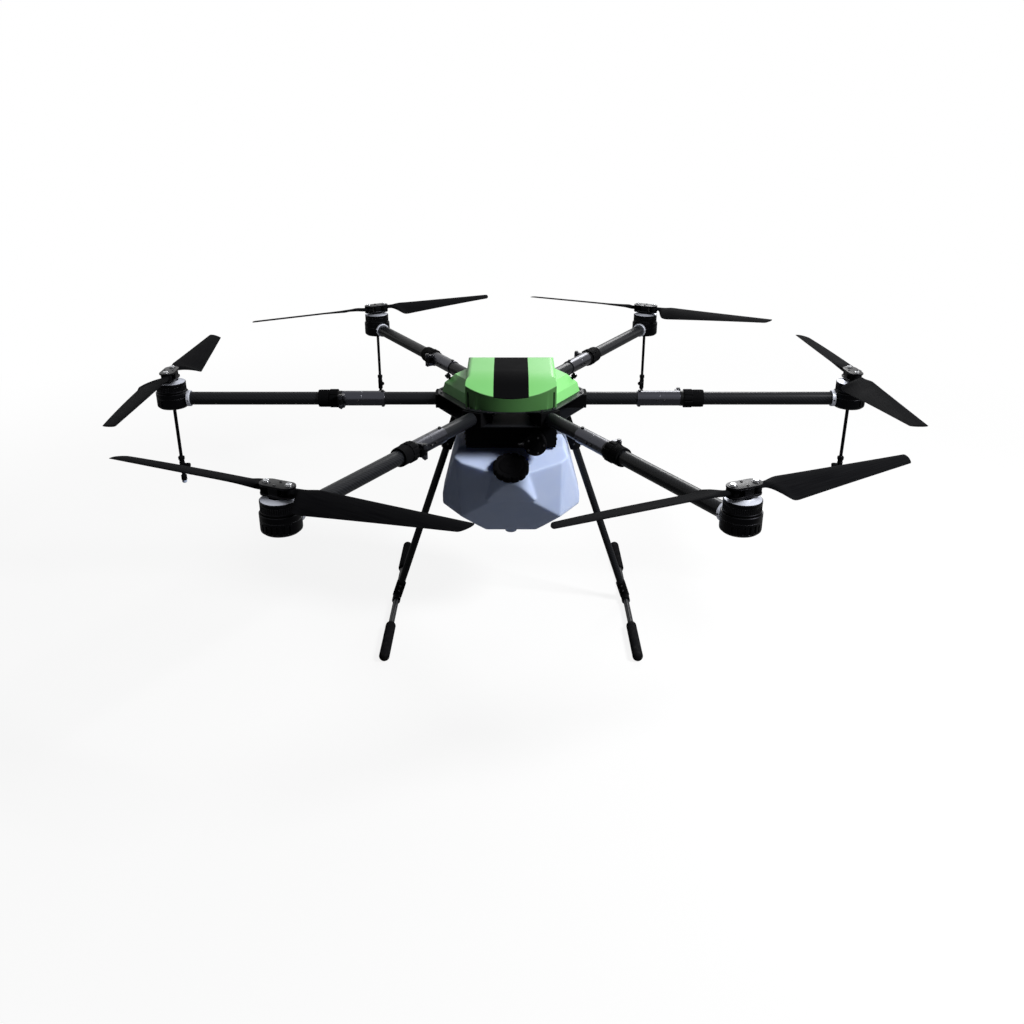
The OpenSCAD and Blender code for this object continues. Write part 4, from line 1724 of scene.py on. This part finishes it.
@dataclass(frozen=True)
class Nozzle:
    """Spray rod under a motor, with its valve body, check valve knob and pale tip."""

    kit: Kit
    top: float = -22.0
    tip: float = -246.0
    flange: tuple[Pair, ...] = ((0.0, -5.0), (5.5, -5.0), (11.0, -3.0), (11.0, 0.0), (0.0, 0.0))
    rod_radius: float = 4.5
    rod_foot: float = 60.0
    rod_sink: float = 3.0
    body: tuple[Pair, ...] = (
        (0.0, 22.0), (5.0, 22.0), (5.0, 29.0), (7.0, 30.0), (7.5, 32.0), (7.5, 40.0), (6.9, 40.6),
        (6.9, 42.0), (7.5, 42.6), (7.5, 62.0), (6.6, 63.0), (6.6, 65.0), (7.2, 66.0), (7.2, 70.0),
        (5.4, 72.0), (0.0, 72.0),
    )
    nuts: tuple[Triple, ...] = ((8.0, 8.0, 23.0), (9.0, 69.0, 78.0))
    mouth: tuple[Pair, ...] = ((0.0, 0.0), (4.6, 0.0), (6.6, 2.0), (6.6, 9.0), (0.0, 9.0))
    knob: tuple[Pair, ...] = ((0.0, 6.0), (6.0, 6.2), (6.0, 20.8), (5.0, 22.0), (0.0, 22.0))
    knob_rise: float = 52.0
    knob_ribs: int = 18
    knob_rib_ring: float = 5.8
    knob_rib_radius: float = 0.55
    knob_grip: Pair = (12.0, 20.4)

    def build(self) -> None:
        """Make the four nozzles."""
        look, kit, tip = self.kit.look, self.kit, self.tip
        nozzle = turned(softened(shifted(self.flange, 0, self.top), 0.6), look.black, 40)
        rod = bar(self.rod_radius, tip + self.rod_foot, self.top - self.rod_sink)
        nozzle.take(turned(rod, look.anodised, 32))
        nozzle.take(turned(softened(shifted(self.body, 0, tip), 0.5, 2), look.black, 40))
        for radius, low, high in self.nuts:
            nut = softened(bar(radius, tip + low, tip + high), 0.7)
            nozzle.take(turned(nut, look.black, 48, hexagonal))
        nozzle.take(turned(softened(shifted(self.mouth, 0, tip), 0.7), look.tank, 40))
        side = moved(z=tip + self.knob_rise) @ turned_by(-90, "Y")
        nozzle.take(turned(softened(self.knob, 0.6), look.black, 40), side)
        rib = (self.knob_rib_ring, self.knob_rib_radius)
        nozzle.take(kit.ribs.ribs(self.knob_ribs, *rib, *self.knob_grip, look.black), side)
        kit.at_motors(nozzle, "nozzle", "black_plastic", NOZZLE_STATIONS)


@dataclass(frozen=True)
class Tank:
    """Blow-moulded faceted tank with its filler boss and neck, and the screw cap."""

    kit: Kit
    half_width: float = 133.0
    ridge: float = 190.0
    ridge_y: float = 40.0
    ridge_z: Pair = (-262.0, -292.0)
    nose: float = 211.0
    top: float = -101.0
    top_corner: Pair = (140.0, 104.0)
    shoulder: Pair = (150.0, 140.0)
    brow_y: float = 157.0
    brow: Pair = (146.0, -120.0)
    brow_tilt: float = 24.3
    corner: Pair = (146.0, -286.0)
    under_lean: float = 32.3
    chamfer_corner: Pair = (89.0, 122.0)
    chamfer_z: float = -324.0
    bottom_corner: Pair = (67.0, 110.0)
    bottom: float = -342.0
    boss_radius: Pair = (74.0, 46.0)
    boss_length: float = 78.0
    boss_proud: float = 1.5
    boss_clear: float = 0.6
    voxel: float = 2.8
    rounding: int = 7
    neck_radius: float = 41.0
    neck_height: float = 15.0
    neck_wall: float = 5.0
    neck_foot: tuple[Pair, ...] = ((-5.0, -30.0), (0.0, -12.0), (0.0, 2.5))
    thread: tuple[Pair, ...] = ((-1.2, 1.0), (0.0, 1.5), (0.0, 2.1), (-1.2, 2.6))
    thread_turns: int = 3
    thread_start: float = 3.2
    thread_pitch: float = 3.4
    cap_radius: float = 47.0
    cap_foot: float = 2.3
    cap_top: float = 20.4
    cap_play: float = 0.4
    cap_roof: float = 5.0
    cap_lobes: int = 12
    lobe_depth: float = 3.4
    lobe_wall: float = 4.0
    cap_rim: tuple[Pair, ...] = (
        (0.0, -3.0), (-1.6, -0.6), (-6.0, 0.0), (-11.0, -0.2), (-13.0, -1.6), (-16.0, -1.6), (-17.5, -0.2),
    )
    cap_middle: tuple[Pair, ...] = ((12.0, 0.0), (10.6, -1.0), (0.0, -1.0))
    drain_radius: float = 16.0
    drain_height: float = 13.0
    drain_reach: float = 84.0
    drain_sink: float = 3.0

    def brow_height(self, reach: float) -> float:
        """Height of the sloping brow facet."""
        return self.brow[1] - (reach - self.brow[0]) * math.tan(math.radians(self.brow_tilt))

    def under_height(self, reach: float) -> float:
        """Height of the facet under the nose."""
        return self.corner[1] + (reach - self.corner[0]) / math.tan(math.radians(self.under_lean))

    def corners(self) -> list[Triple]:
        """Corner points of the tank in its hub frame.

        Returns:
            The points of all four quarters.
        """
        quarter = [
            (*self.top_corner, self.top),
            (*self.shoulder, self.brow_height(self.shoulder[1])),
            (self.half_width, self.brow_y, self.brow_height(self.brow_y)),
            (0, self.nose, self.brow_height(self.nose)),
            (0, self.nose, self.under_height(self.nose)),
            (self.half_width, *self.corner),
            (self.ridge, self.ridge_y, self.ridge_z[0]),
            (self.ridge, self.ridge_y, self.ridge_z[1]),
            (*self.chamfer_corner, self.chamfer_z),
            (*self.bottom_corner, self.bottom),
        ]
        return [(x * right, y * back, z) for x, y, z in quarter for right in (-1, 1) for back in (-1, 1)]

    def hull(self) -> bmesh.types.BMesh:
        """Wrap the corner points and add the filler boss, cut along the under facet.

        Returns:
            The closed solids, in millimetres.
        """
        solid = bmesh.new()
        for x, y, z in self.corners():
            solid.verts.new((x, y, z + self.kit.layout.arm_height))
        made = bmesh.ops.convex_hull(solid, input=solid.verts)
        loose = [item for item in made["geom_interior"] if isinstance(item, bmesh.types.BMVert)]
        bmesh.ops.delete(solid, geom=loose, context="VERTS")
        boss = bmesh.new()
        place = self.kit.layout.cap_place @ moved(z=self.boss_proud - self.boss_length / 2)
        foot, head = self.boss_radius
        cone = {"radius1": foot, "radius2": head, "depth": self.boss_length}
        bmesh.ops.create_cone(boss, cap_ends=True, segments=96, matrix=place, **cone)
        edge = Vector((0, -self.corner[0], self.corner[1] + self.kit.layout.arm_height))
        lean = math.radians(self.under_lean)
        facing = Vector((0, -math.cos(lean), -math.sin(lean)))
        plane = {"plane_co": edge + facing * self.boss_clear, "plane_no": facing}
        everything = [*boss.verts, *boss.edges, *boss.faces]
        cut = bmesh.ops.bisect_plane(boss, geom=everything, clear_outer=True, **plane)
        rim = [item for item in cut["geom_cut"] if isinstance(item, bmesh.types.BMEdge)]
        bmesh.ops.edgeloop_fill(boss, edges=rim)
        joined = bpy.data.meshes.new("boss")
        boss.to_mesh(joined)
        solid.from_mesh(joined)
        bpy.data.meshes.remove(joined)
        boss.free()
        return solid

    def skin(self) -> Shape:
        """Round the tank's edges by remeshing it finely and smoothing it.

        Returns:
            The moulded skin.
        """
        solid = self.hull()
        bmesh.ops.recalc_face_normals(solid, faces=solid.faces)
        mesh = bpy.data.meshes.new("tank_form")
        solid.to_mesh(mesh)
        solid.free()
        mesh.materials.append(self.kit.look.tank.material())
        holder = bpy.data.objects.new("tank_form", mesh)
        remesh = holder.modifiers.new("remesh", "REMESH")
        remesh.mode = "VOXEL"
        remesh.voxel_size = self.voxel
        smooth = holder.modifiers.new("smooth", "SMOOTH")
        smooth.factor = 0.5
        smooth.iterations = self.rounding
        return Shape.from_modifiers(holder)

    def neck(self) -> Shape:
        """Turn the filler neck with its thread.

        Returns:
            The neck.
        """
        r, tall = self.neck_radius, self.neck_height
        root = r + self.thread[0][0]
        profile = [*shifted(self.neck_foot, r, 0), (root, self.thread_start)]
        for turn in range(self.thread_turns):
            profile += shifted(self.thread, r, self.thread_start + self.thread_pitch * turn)
        profile += [(root, tall), (r - self.neck_wall, tall)]
        return turned(profile, self.kit.look.tank, 72, ring=True)

    def cap(self) -> Shape:
        """Turn the cap: lobed grip, raised middle and a hollow underside.

        Returns:
            The cap.
        """
        r, foot, top = self.cap_radius, self.cap_foot, self.cap_top
        bore, ceiling = self.neck_radius + self.cap_play, top - self.cap_roof
        profile = [(0, ceiling), (bore, ceiling), (bore, foot), (r - 0.3, foot), (r, foot + 1.2)]
        profile += shifted(self.cap_rim, r, top) + shifted(self.cap_middle, 0, top)
        grip = lobed(self.cap_lobes, self.lobe_depth, 3, r - self.lobe_wall)
        return turned(softened(profile, 0.7, 3), self.kit.look.black, 192, grip)

    def drain(self) -> Shape:
        """Turn the drain plug under the tank.

        Returns:
            The plug.
        """
        r, low, root = self.drain_radius, self.bottom - self.drain_height, self.bottom + self.drain_sink
        profile = [(0, low), (r - 2, low), (r, low + 1.4), (r, root), (0, root)]
        return turned(softened(profile, 0.6), self.kit.look.tank, 48)

    def build(self) -> None:
        """Make the tank and its cap."""
        layout = self.kit.layout
        tank = self.skin().take(self.neck(), layout.cap_place)
        tank.take(self.drain(), layout.on_hub(y=-self.drain_reach))
        tank.piece("tank_skin", "airframe", "tank_plastic", "tank")
        cap = Shape().take(self.cap(), layout.cap_place)
        cap.piece("filler_cap_dressed", "filler_cap", "black_plastic", "filler_cap")


@dataclass(frozen=True)
class FoldJoints:
    """Trim of the fold joints: the sockets' screws and the lock collars' grip ribs."""

    kit: Kit
    socket_radius: float = 20.0
    collar_radius: float = 23.0
    grip: Pair = (491.0, 515.0)
    grip_ribs: int = 40
    rib_radius: float = 0.8
    rib_sink: float = 0.3
    screw_rows: tuple[tuple[float, Pair, float], ...] = (
        (347.0, (0.0, 180.0), 4.2),
        (393.0, (-90.0, 90.0), 3.0),
        (412.0, (-90.0, 90.0), 3.0),
    )
    screw_height: float = 3.6
    screw_sink: float = 0.4

    def build(self) -> None:
        """Make the screws of all six sockets as one piece, and each collar's ribs."""
        kit = self.kit
        ring = self.collar_radius - self.rib_sink
        ribs = kit.ribs.ribs(self.grip_ribs, ring, self.rib_radius, *self.grip, kit.look.black)
        for station in Station:
            name = station.named("lock_collar")
            grip = Shape().take(ribs, kit.layout.on_arm(station) @ ALONG_X)
            grip.piece(f"{name}_grip", name, "black_plastic")
        spots = []
        for station in Station:
            for reach, turns, radius in self.screw_rows:
                for turn in turns:
                    around = turned_by(turn, "X") @ moved(z=self.socket_radius - self.screw_sink)
                    spots.append((kit.layout.on_arm(station, reach) @ around, radius))
        screws = kit.screws.on(spots, self.screw_height, kit.look.dark_steel)
        screws.piece("socket_screws", "airframe", "steel")


@dataclass(frozen=True)
class Hub:
    """Screws of the hub plates and tank hangers, and the bare front edge of the upper plate."""

    kit: Kit
    plate_top: float = 20.5
    screw_reach: float = 187.0
    screw_side: float = 17.0
    screw_radius: float = 3.4
    screw_height: float = 2.6
    hanger_x: float = 121.0
    hanger_y: float = 80.0
    hanger_z: Pair = (-72.0, -88.0)
    strip_x: Pair = (-61.0, 37.0)
    strip_y: float = -180.0
    strip_z: Pair = (17.6, 19.6)
    strip_half: float = 0.5
    strip_edge: float = 0.2

    def build(self) -> None:
        """Make the screws and the strip."""
        kit, layout = self.kit, self.kit.layout
        places = []
        for station in Station:
            for side in (-1, 1):
                spot = (self.screw_reach, side * self.screw_side)
                places.append(layout.on_arm(station, *spot, self.plate_top))
                places.append(layout.on_arm(station, *spot, -self.plate_top) @ DOWN)
        for x in (-1, 1):
            for y in (-1, 1):
                for z in self.hanger_z:
                    spot = layout.on_hub(x * self.hanger_x, y * self.hanger_y, z)
                    places.append(spot @ turned_by(x * 90, "Y"))
        spots = [(place, self.screw_radius) for place in places]
        screws = kit.screws.on(spots, self.screw_height, kit.look.dark_steel)
        screws.piece("plate_screws", "airframe", "steel")
        start, end = self.strip_x
        outline = box_outline((end - start) / 2, self.strip_half, self.strip_edge)
        strip = extruded(outline, *self.strip_z, kit.look.gunmetal, self.strip_edge)
        strip = Shape().take(strip, layout.on_hub((start + end) / 2, self.strip_y))
        strip.piece("plate_edge_strip", "airframe", "anodised")


@dataclass(frozen=True)
class Canopy:
    """Canopy with rounded creases, the thumb knobs that hold it down and black strips of painted shade along
    the hood's side edges.
    """

    kit: Kit
    knob_reach: float = 164.0
    knob_rise: float = 56.5
    knob_lean: float = 39.4
    knob_profile: tuple[Pair, ...] = ((0, -1.6), (4, -1.6), (4, 3), (7, 3), (7, 14), (0, 14))
    knob_edge: float = 1.1
    knob_lobes: int = 8
    lobe_depth: float = 0.9
    lobe_inside: float = 5.0
    stud_profile: tuple[Pair, ...] = ((0, 12), (2.4, 12), (2.4, 14.4), (0, 15))
    stud_edge: float = 0.5
    fascia_radius: float = 182.0
    # Place and size of the black strips of painted shade at the hood's side edges.
    line_x: float = 110.0
    line_z: Pair = (22.0, 62.0)
    line_half: Pair = (0.7, 2.0)
    line_edge: float = 0.3
    crease_slope: float = 0.46
    creases: tuple[Pair, ...] = ((-98.0, 40.0), (75.0, 22.0))
    crease_cuts: int = 8
    crown: float = 70.0

    def drop(self, y: float) -> float:
        """Depth of the rounded hood under the creased one."""
        nearness = [(max(0.0, reach - abs(y - middle)), reach) for middle, reach in self.creases]
        return sum(self.crease_slope * near**2 / (4 * reach) for near, reach in nearness)

    def rounded(self, node: str, finish: Finish) -> Shape:
        """Copy a CAD node, cut it across its creases and bend the cuts into curves.

        Args:
            node: The canopy or its panel.
            finish: Its finish.

        Returns:
            The rounded form.
        """
        form = bmesh.new()
        form.from_mesh(self.kit.nodes[node].data)
        bmesh.ops.remove_doubles(form, verts=form.verts, dist=WELD)
        for middle, reach in self.creases:
            for step in range(-self.crease_cuts, self.crease_cuts + 1):
                spot = (0, (middle + reach * step / self.crease_cuts) * MM, 0)
                everything = [*form.verts, *form.edges, *form.faces]
                bmesh.ops.bisect_plane(form, geom=everything, dist=WELD, plane_co=spot, plane_no=(0, 1, 0))
        for vertex in form.verts:
            vertex.co /= MM
            if vertex.co.z > self.kit.layout.arm_height + self.crown:
                vertex.co.z -= self.drop(vertex.co.y)
        form.verts.index_update()
        faces = [tuple(vertex.index for vertex in face.verts) for face in form.faces]
        shape = Shape().add([vertex.co for vertex in form.verts], faces, finish)
        form.free()
        return shape

    def knob(self) -> Shape:
        """Turn a thumb knob with a bright stud through its top.

        Returns:
            The knob.
        """
        grip = lobed(self.knob_lobes, self.lobe_depth, 2, self.lobe_inside)
        knob = turned(softened(self.knob_profile, self.knob_edge), self.kit.look.black, 96, grip)
        stud = softened(self.stud_profile, self.stud_edge)
        return knob.take(turned(stud, self.kit.look.steel, 32))

    def build(self) -> None:
        """Make the rounded shell and panel, the two knobs and the two black strips of painted shade."""
        look, layout = self.kit.look, self.kit.layout
        shell = self.rounded("canopy", look.green)
        shell.piece("canopy_shell", "airframe", "green_plastic", "canopy")
        panel = self.rounded("canopy_panel", look.charcoal)
        panel.piece("canopy_panel_dressed", "airframe", "dark_panel", "canopy_panel")
        knobs, lines = Shape(), Shape()
        angle = math.degrees(math.acos(self.line_x / self.fascia_radius))
        outline = box_outline(*self.line_half, self.line_edge)
        # Black strips drawn as shut lines, painting the shade along the hood's side edges.
        line = extruded(outline, *self.line_z, look.black, self.line_edge)
        for side, turn in ((1, -angle), (-1, 180 + angle)):
            corner = layout.on_hub() @ turned_by(90 - side * 90)
            place = corner @ moved(self.knob_reach, 0, self.knob_rise) @ turned_by(self.knob_lean, "Y")
            knobs.take(self.knob(), place)
            lines.take(line, layout.on_hub() @ turned_by(turn) @ moved(self.fascia_radius))
        knobs.piece("canopy_knobs_dressed", "airframe", "black_plastic", "canopy_knobs")
        lines.piece("hood_painted_shade_lines", "airframe", "black_plastic")


@dataclass(frozen=True)
class Pump:
    """Diaphragm pump on the tray's front wall: ribbed motor, screwed head and a hose barb."""

    kit: Kit
    place: Triple = (63.0, -118.0, -71.0)
    profile: tuple[Pair, ...] = (
        (0.0, -62.0), (12.0, -62.0), (12.8, -61.0), (26.5, -61.0), (29.0, -58.6), (29.0, -50.0),
        (27.0, -49.2), (27.0, -46.8), (29.0, -46.0), (29.0, -36.0), (27.5, -34.2), (24.0, -34.0),
        (24.0, -2.0), (23.0, 0.0), (0.0, 0.0),
    )
    edge: float = 0.7
    rib_count: int = 30
    rib_ring: float = 23.8
    rib_radius: float = 1.0
    rib_range: Pair = (-31.0, -5.0)
    head_screws: int = 5
    screw_circle: float = 22.0
    screw_foot: float = -61.0
    screw_radius: float = 2.8
    screw_height: float = 1.0
    port_y: float = -48.0
    port: tuple[Pair, ...] = ((0.0, 21.0), (6.0, 21.0), (6.0, 30.0), (7.2, 30.5), (7.2, 33.0), (4.8, 33.5))
    barb: tuple[Pair, ...] = ((4.8, 34.0), (6.0, 34.4), (4.6, 37.0))
    barb_count: int = 3
    barb_pitch: float = 3.2
    port_end: tuple[Pair, ...] = ((4.0, 45.0), (0.0, 45.0))
    port_edge: float = 0.3

    def build(self) -> None:
        """Make the pump."""
        kit, look = self.kit, self.kit.look
        pump = turned(softened(self.profile, self.edge), look.black, 72)
        rib = (self.rib_count, self.rib_ring, self.rib_radius)
        pump.take(kit.ribs.ribs(*rib, *self.rib_range, look.black))
        spots = []
        for step in range(self.head_screws):
            turn = turned_by(360 / self.head_screws * step)
            spots.append((turn @ moved(self.screw_circle, 0, self.screw_foot) @ DOWN, self.screw_radius))
        pump.take(kit.screws.on(spots, self.screw_height, look.dark_steel))
        pump = Shape().take(pump, ALONG_Y)
        port = list(self.port)
        for step in range(self.barb_count):
            port += shifted(self.barb, 0, self.barb_pitch * step)
        port = softened([*port, *self.port_end], self.port_edge, 2)
        pump.take(turned(port, look.dark_steel, 40), moved(y=self.port_y) @ turned_by(-90, "Y"))
        pump = Shape().take(pump, kit.layout.on_hub(*self.place))
        pump.piece("pump_dressed", "airframe", "black_plastic", "pump")


@dataclass(frozen=True)
class LandingGear:
    """Screws of the leg sockets and the foam feet over the skid ends."""

    kit: Kit
    bracket_radius: float = 15.0
    bracket_screws: Pair = (112.0, 36.0)
    tee_radius: float = 13.5
    tee_screws: Pair = (24.0, 40.0)
    screw_radius: float = 3.2
    screw_height: float = 2.4
    screw_sink: float = 0.4
    foot_radius: float = 14.0
    foot_range: Pair = (170.0, 345.0)
    foot_edge: float = 4.0
    tube_end: float = 325.0
    tube_radius: float = 8.1

    def foot(self) -> Shape:
        """Turn a foot along Y, flat where it stands on the ground.

        Returns:
            The foot.
        """
        r, bore, (inner, outer) = self.foot_radius, self.tube_radius, self.foot_range
        profile = [(0, self.tube_end), (bore, self.tube_end), (bore, inner), (r - 1.5, inner)]
        profile += [(r, inner + 5), (r, outer - 9), (r - 5, outer - 1), (0, outer)]
        foot = turned(softened(profile, self.foot_edge, 5), self.kit.look.foam, 56)
        foot = Shape().take(foot, moved(SKID[0], 0, SKID[1]) @ ALONG_Y)
        for point in foot.points:
            point.z = max(point.z, 0.0)
        return foot

    def build(self) -> None:
        """Make the feet as one piece and the screws as another."""
        kit = self.kit
        feet, foot = Shape(), self.foot()
        for turn in (0, 180):
            feet.take(foot, turned_by(turn))
            feet.take(foot, turned_by(turn) @ moved(2 * SKID[0]) @ turned_by(180))
        feet.piece("skid_feet_foam", "airframe", "rubber", "skid_feet")
        run = Vector(LEG_TOP) - Vector(SKID)
        lean = math.degrees(math.atan2(-run.x, run.y))
        spots = []
        for side in (-1, 1):
            leg = moved(side * SKID[0], 0, SKID[1]) @ turned_by(-side * lean, "Y")
            rows = [(run.length - drop, self.bracket_radius) for drop in self.bracket_screws]
            rows += [(rise, self.tee_radius) for rise in self.tee_screws]
            for rise, radius in rows:
                for way in (-90, 90):
                    around = turned_by(way, "X") @ moved(z=radius - self.screw_sink)
                    spots.append((leg @ moved(z=rise) @ around, self.screw_radius))
        screws = kit.screws.on(spots, self.screw_height, kit.look.dark_steel)
        screws.piece("leg_screws", "airframe", "steel")


def main() -> None:
    """Build the looks around the frame."""
    logging.basicConfig(level=logging.INFO, format="%(name)s: %(message)s")
    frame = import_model()
    layout = Layout.from_record(frame["record"])
    palette = Palette.for_arms(layout.arm_height * MM)
    Studio().build()
    CadFinishes(palette, frame["nodes"]).dress()
    kit = Kit(layout, palette, ScrewField(), RibRing(), frame["nodes"])
    for assembly in (Propeller, Rotor, MotorBase, Nozzle, Tank, FoldJoints, Hub, Canopy, Pump, LandingGear):
        assembly(kit).build()


if __name__ == "__main__":
    main()
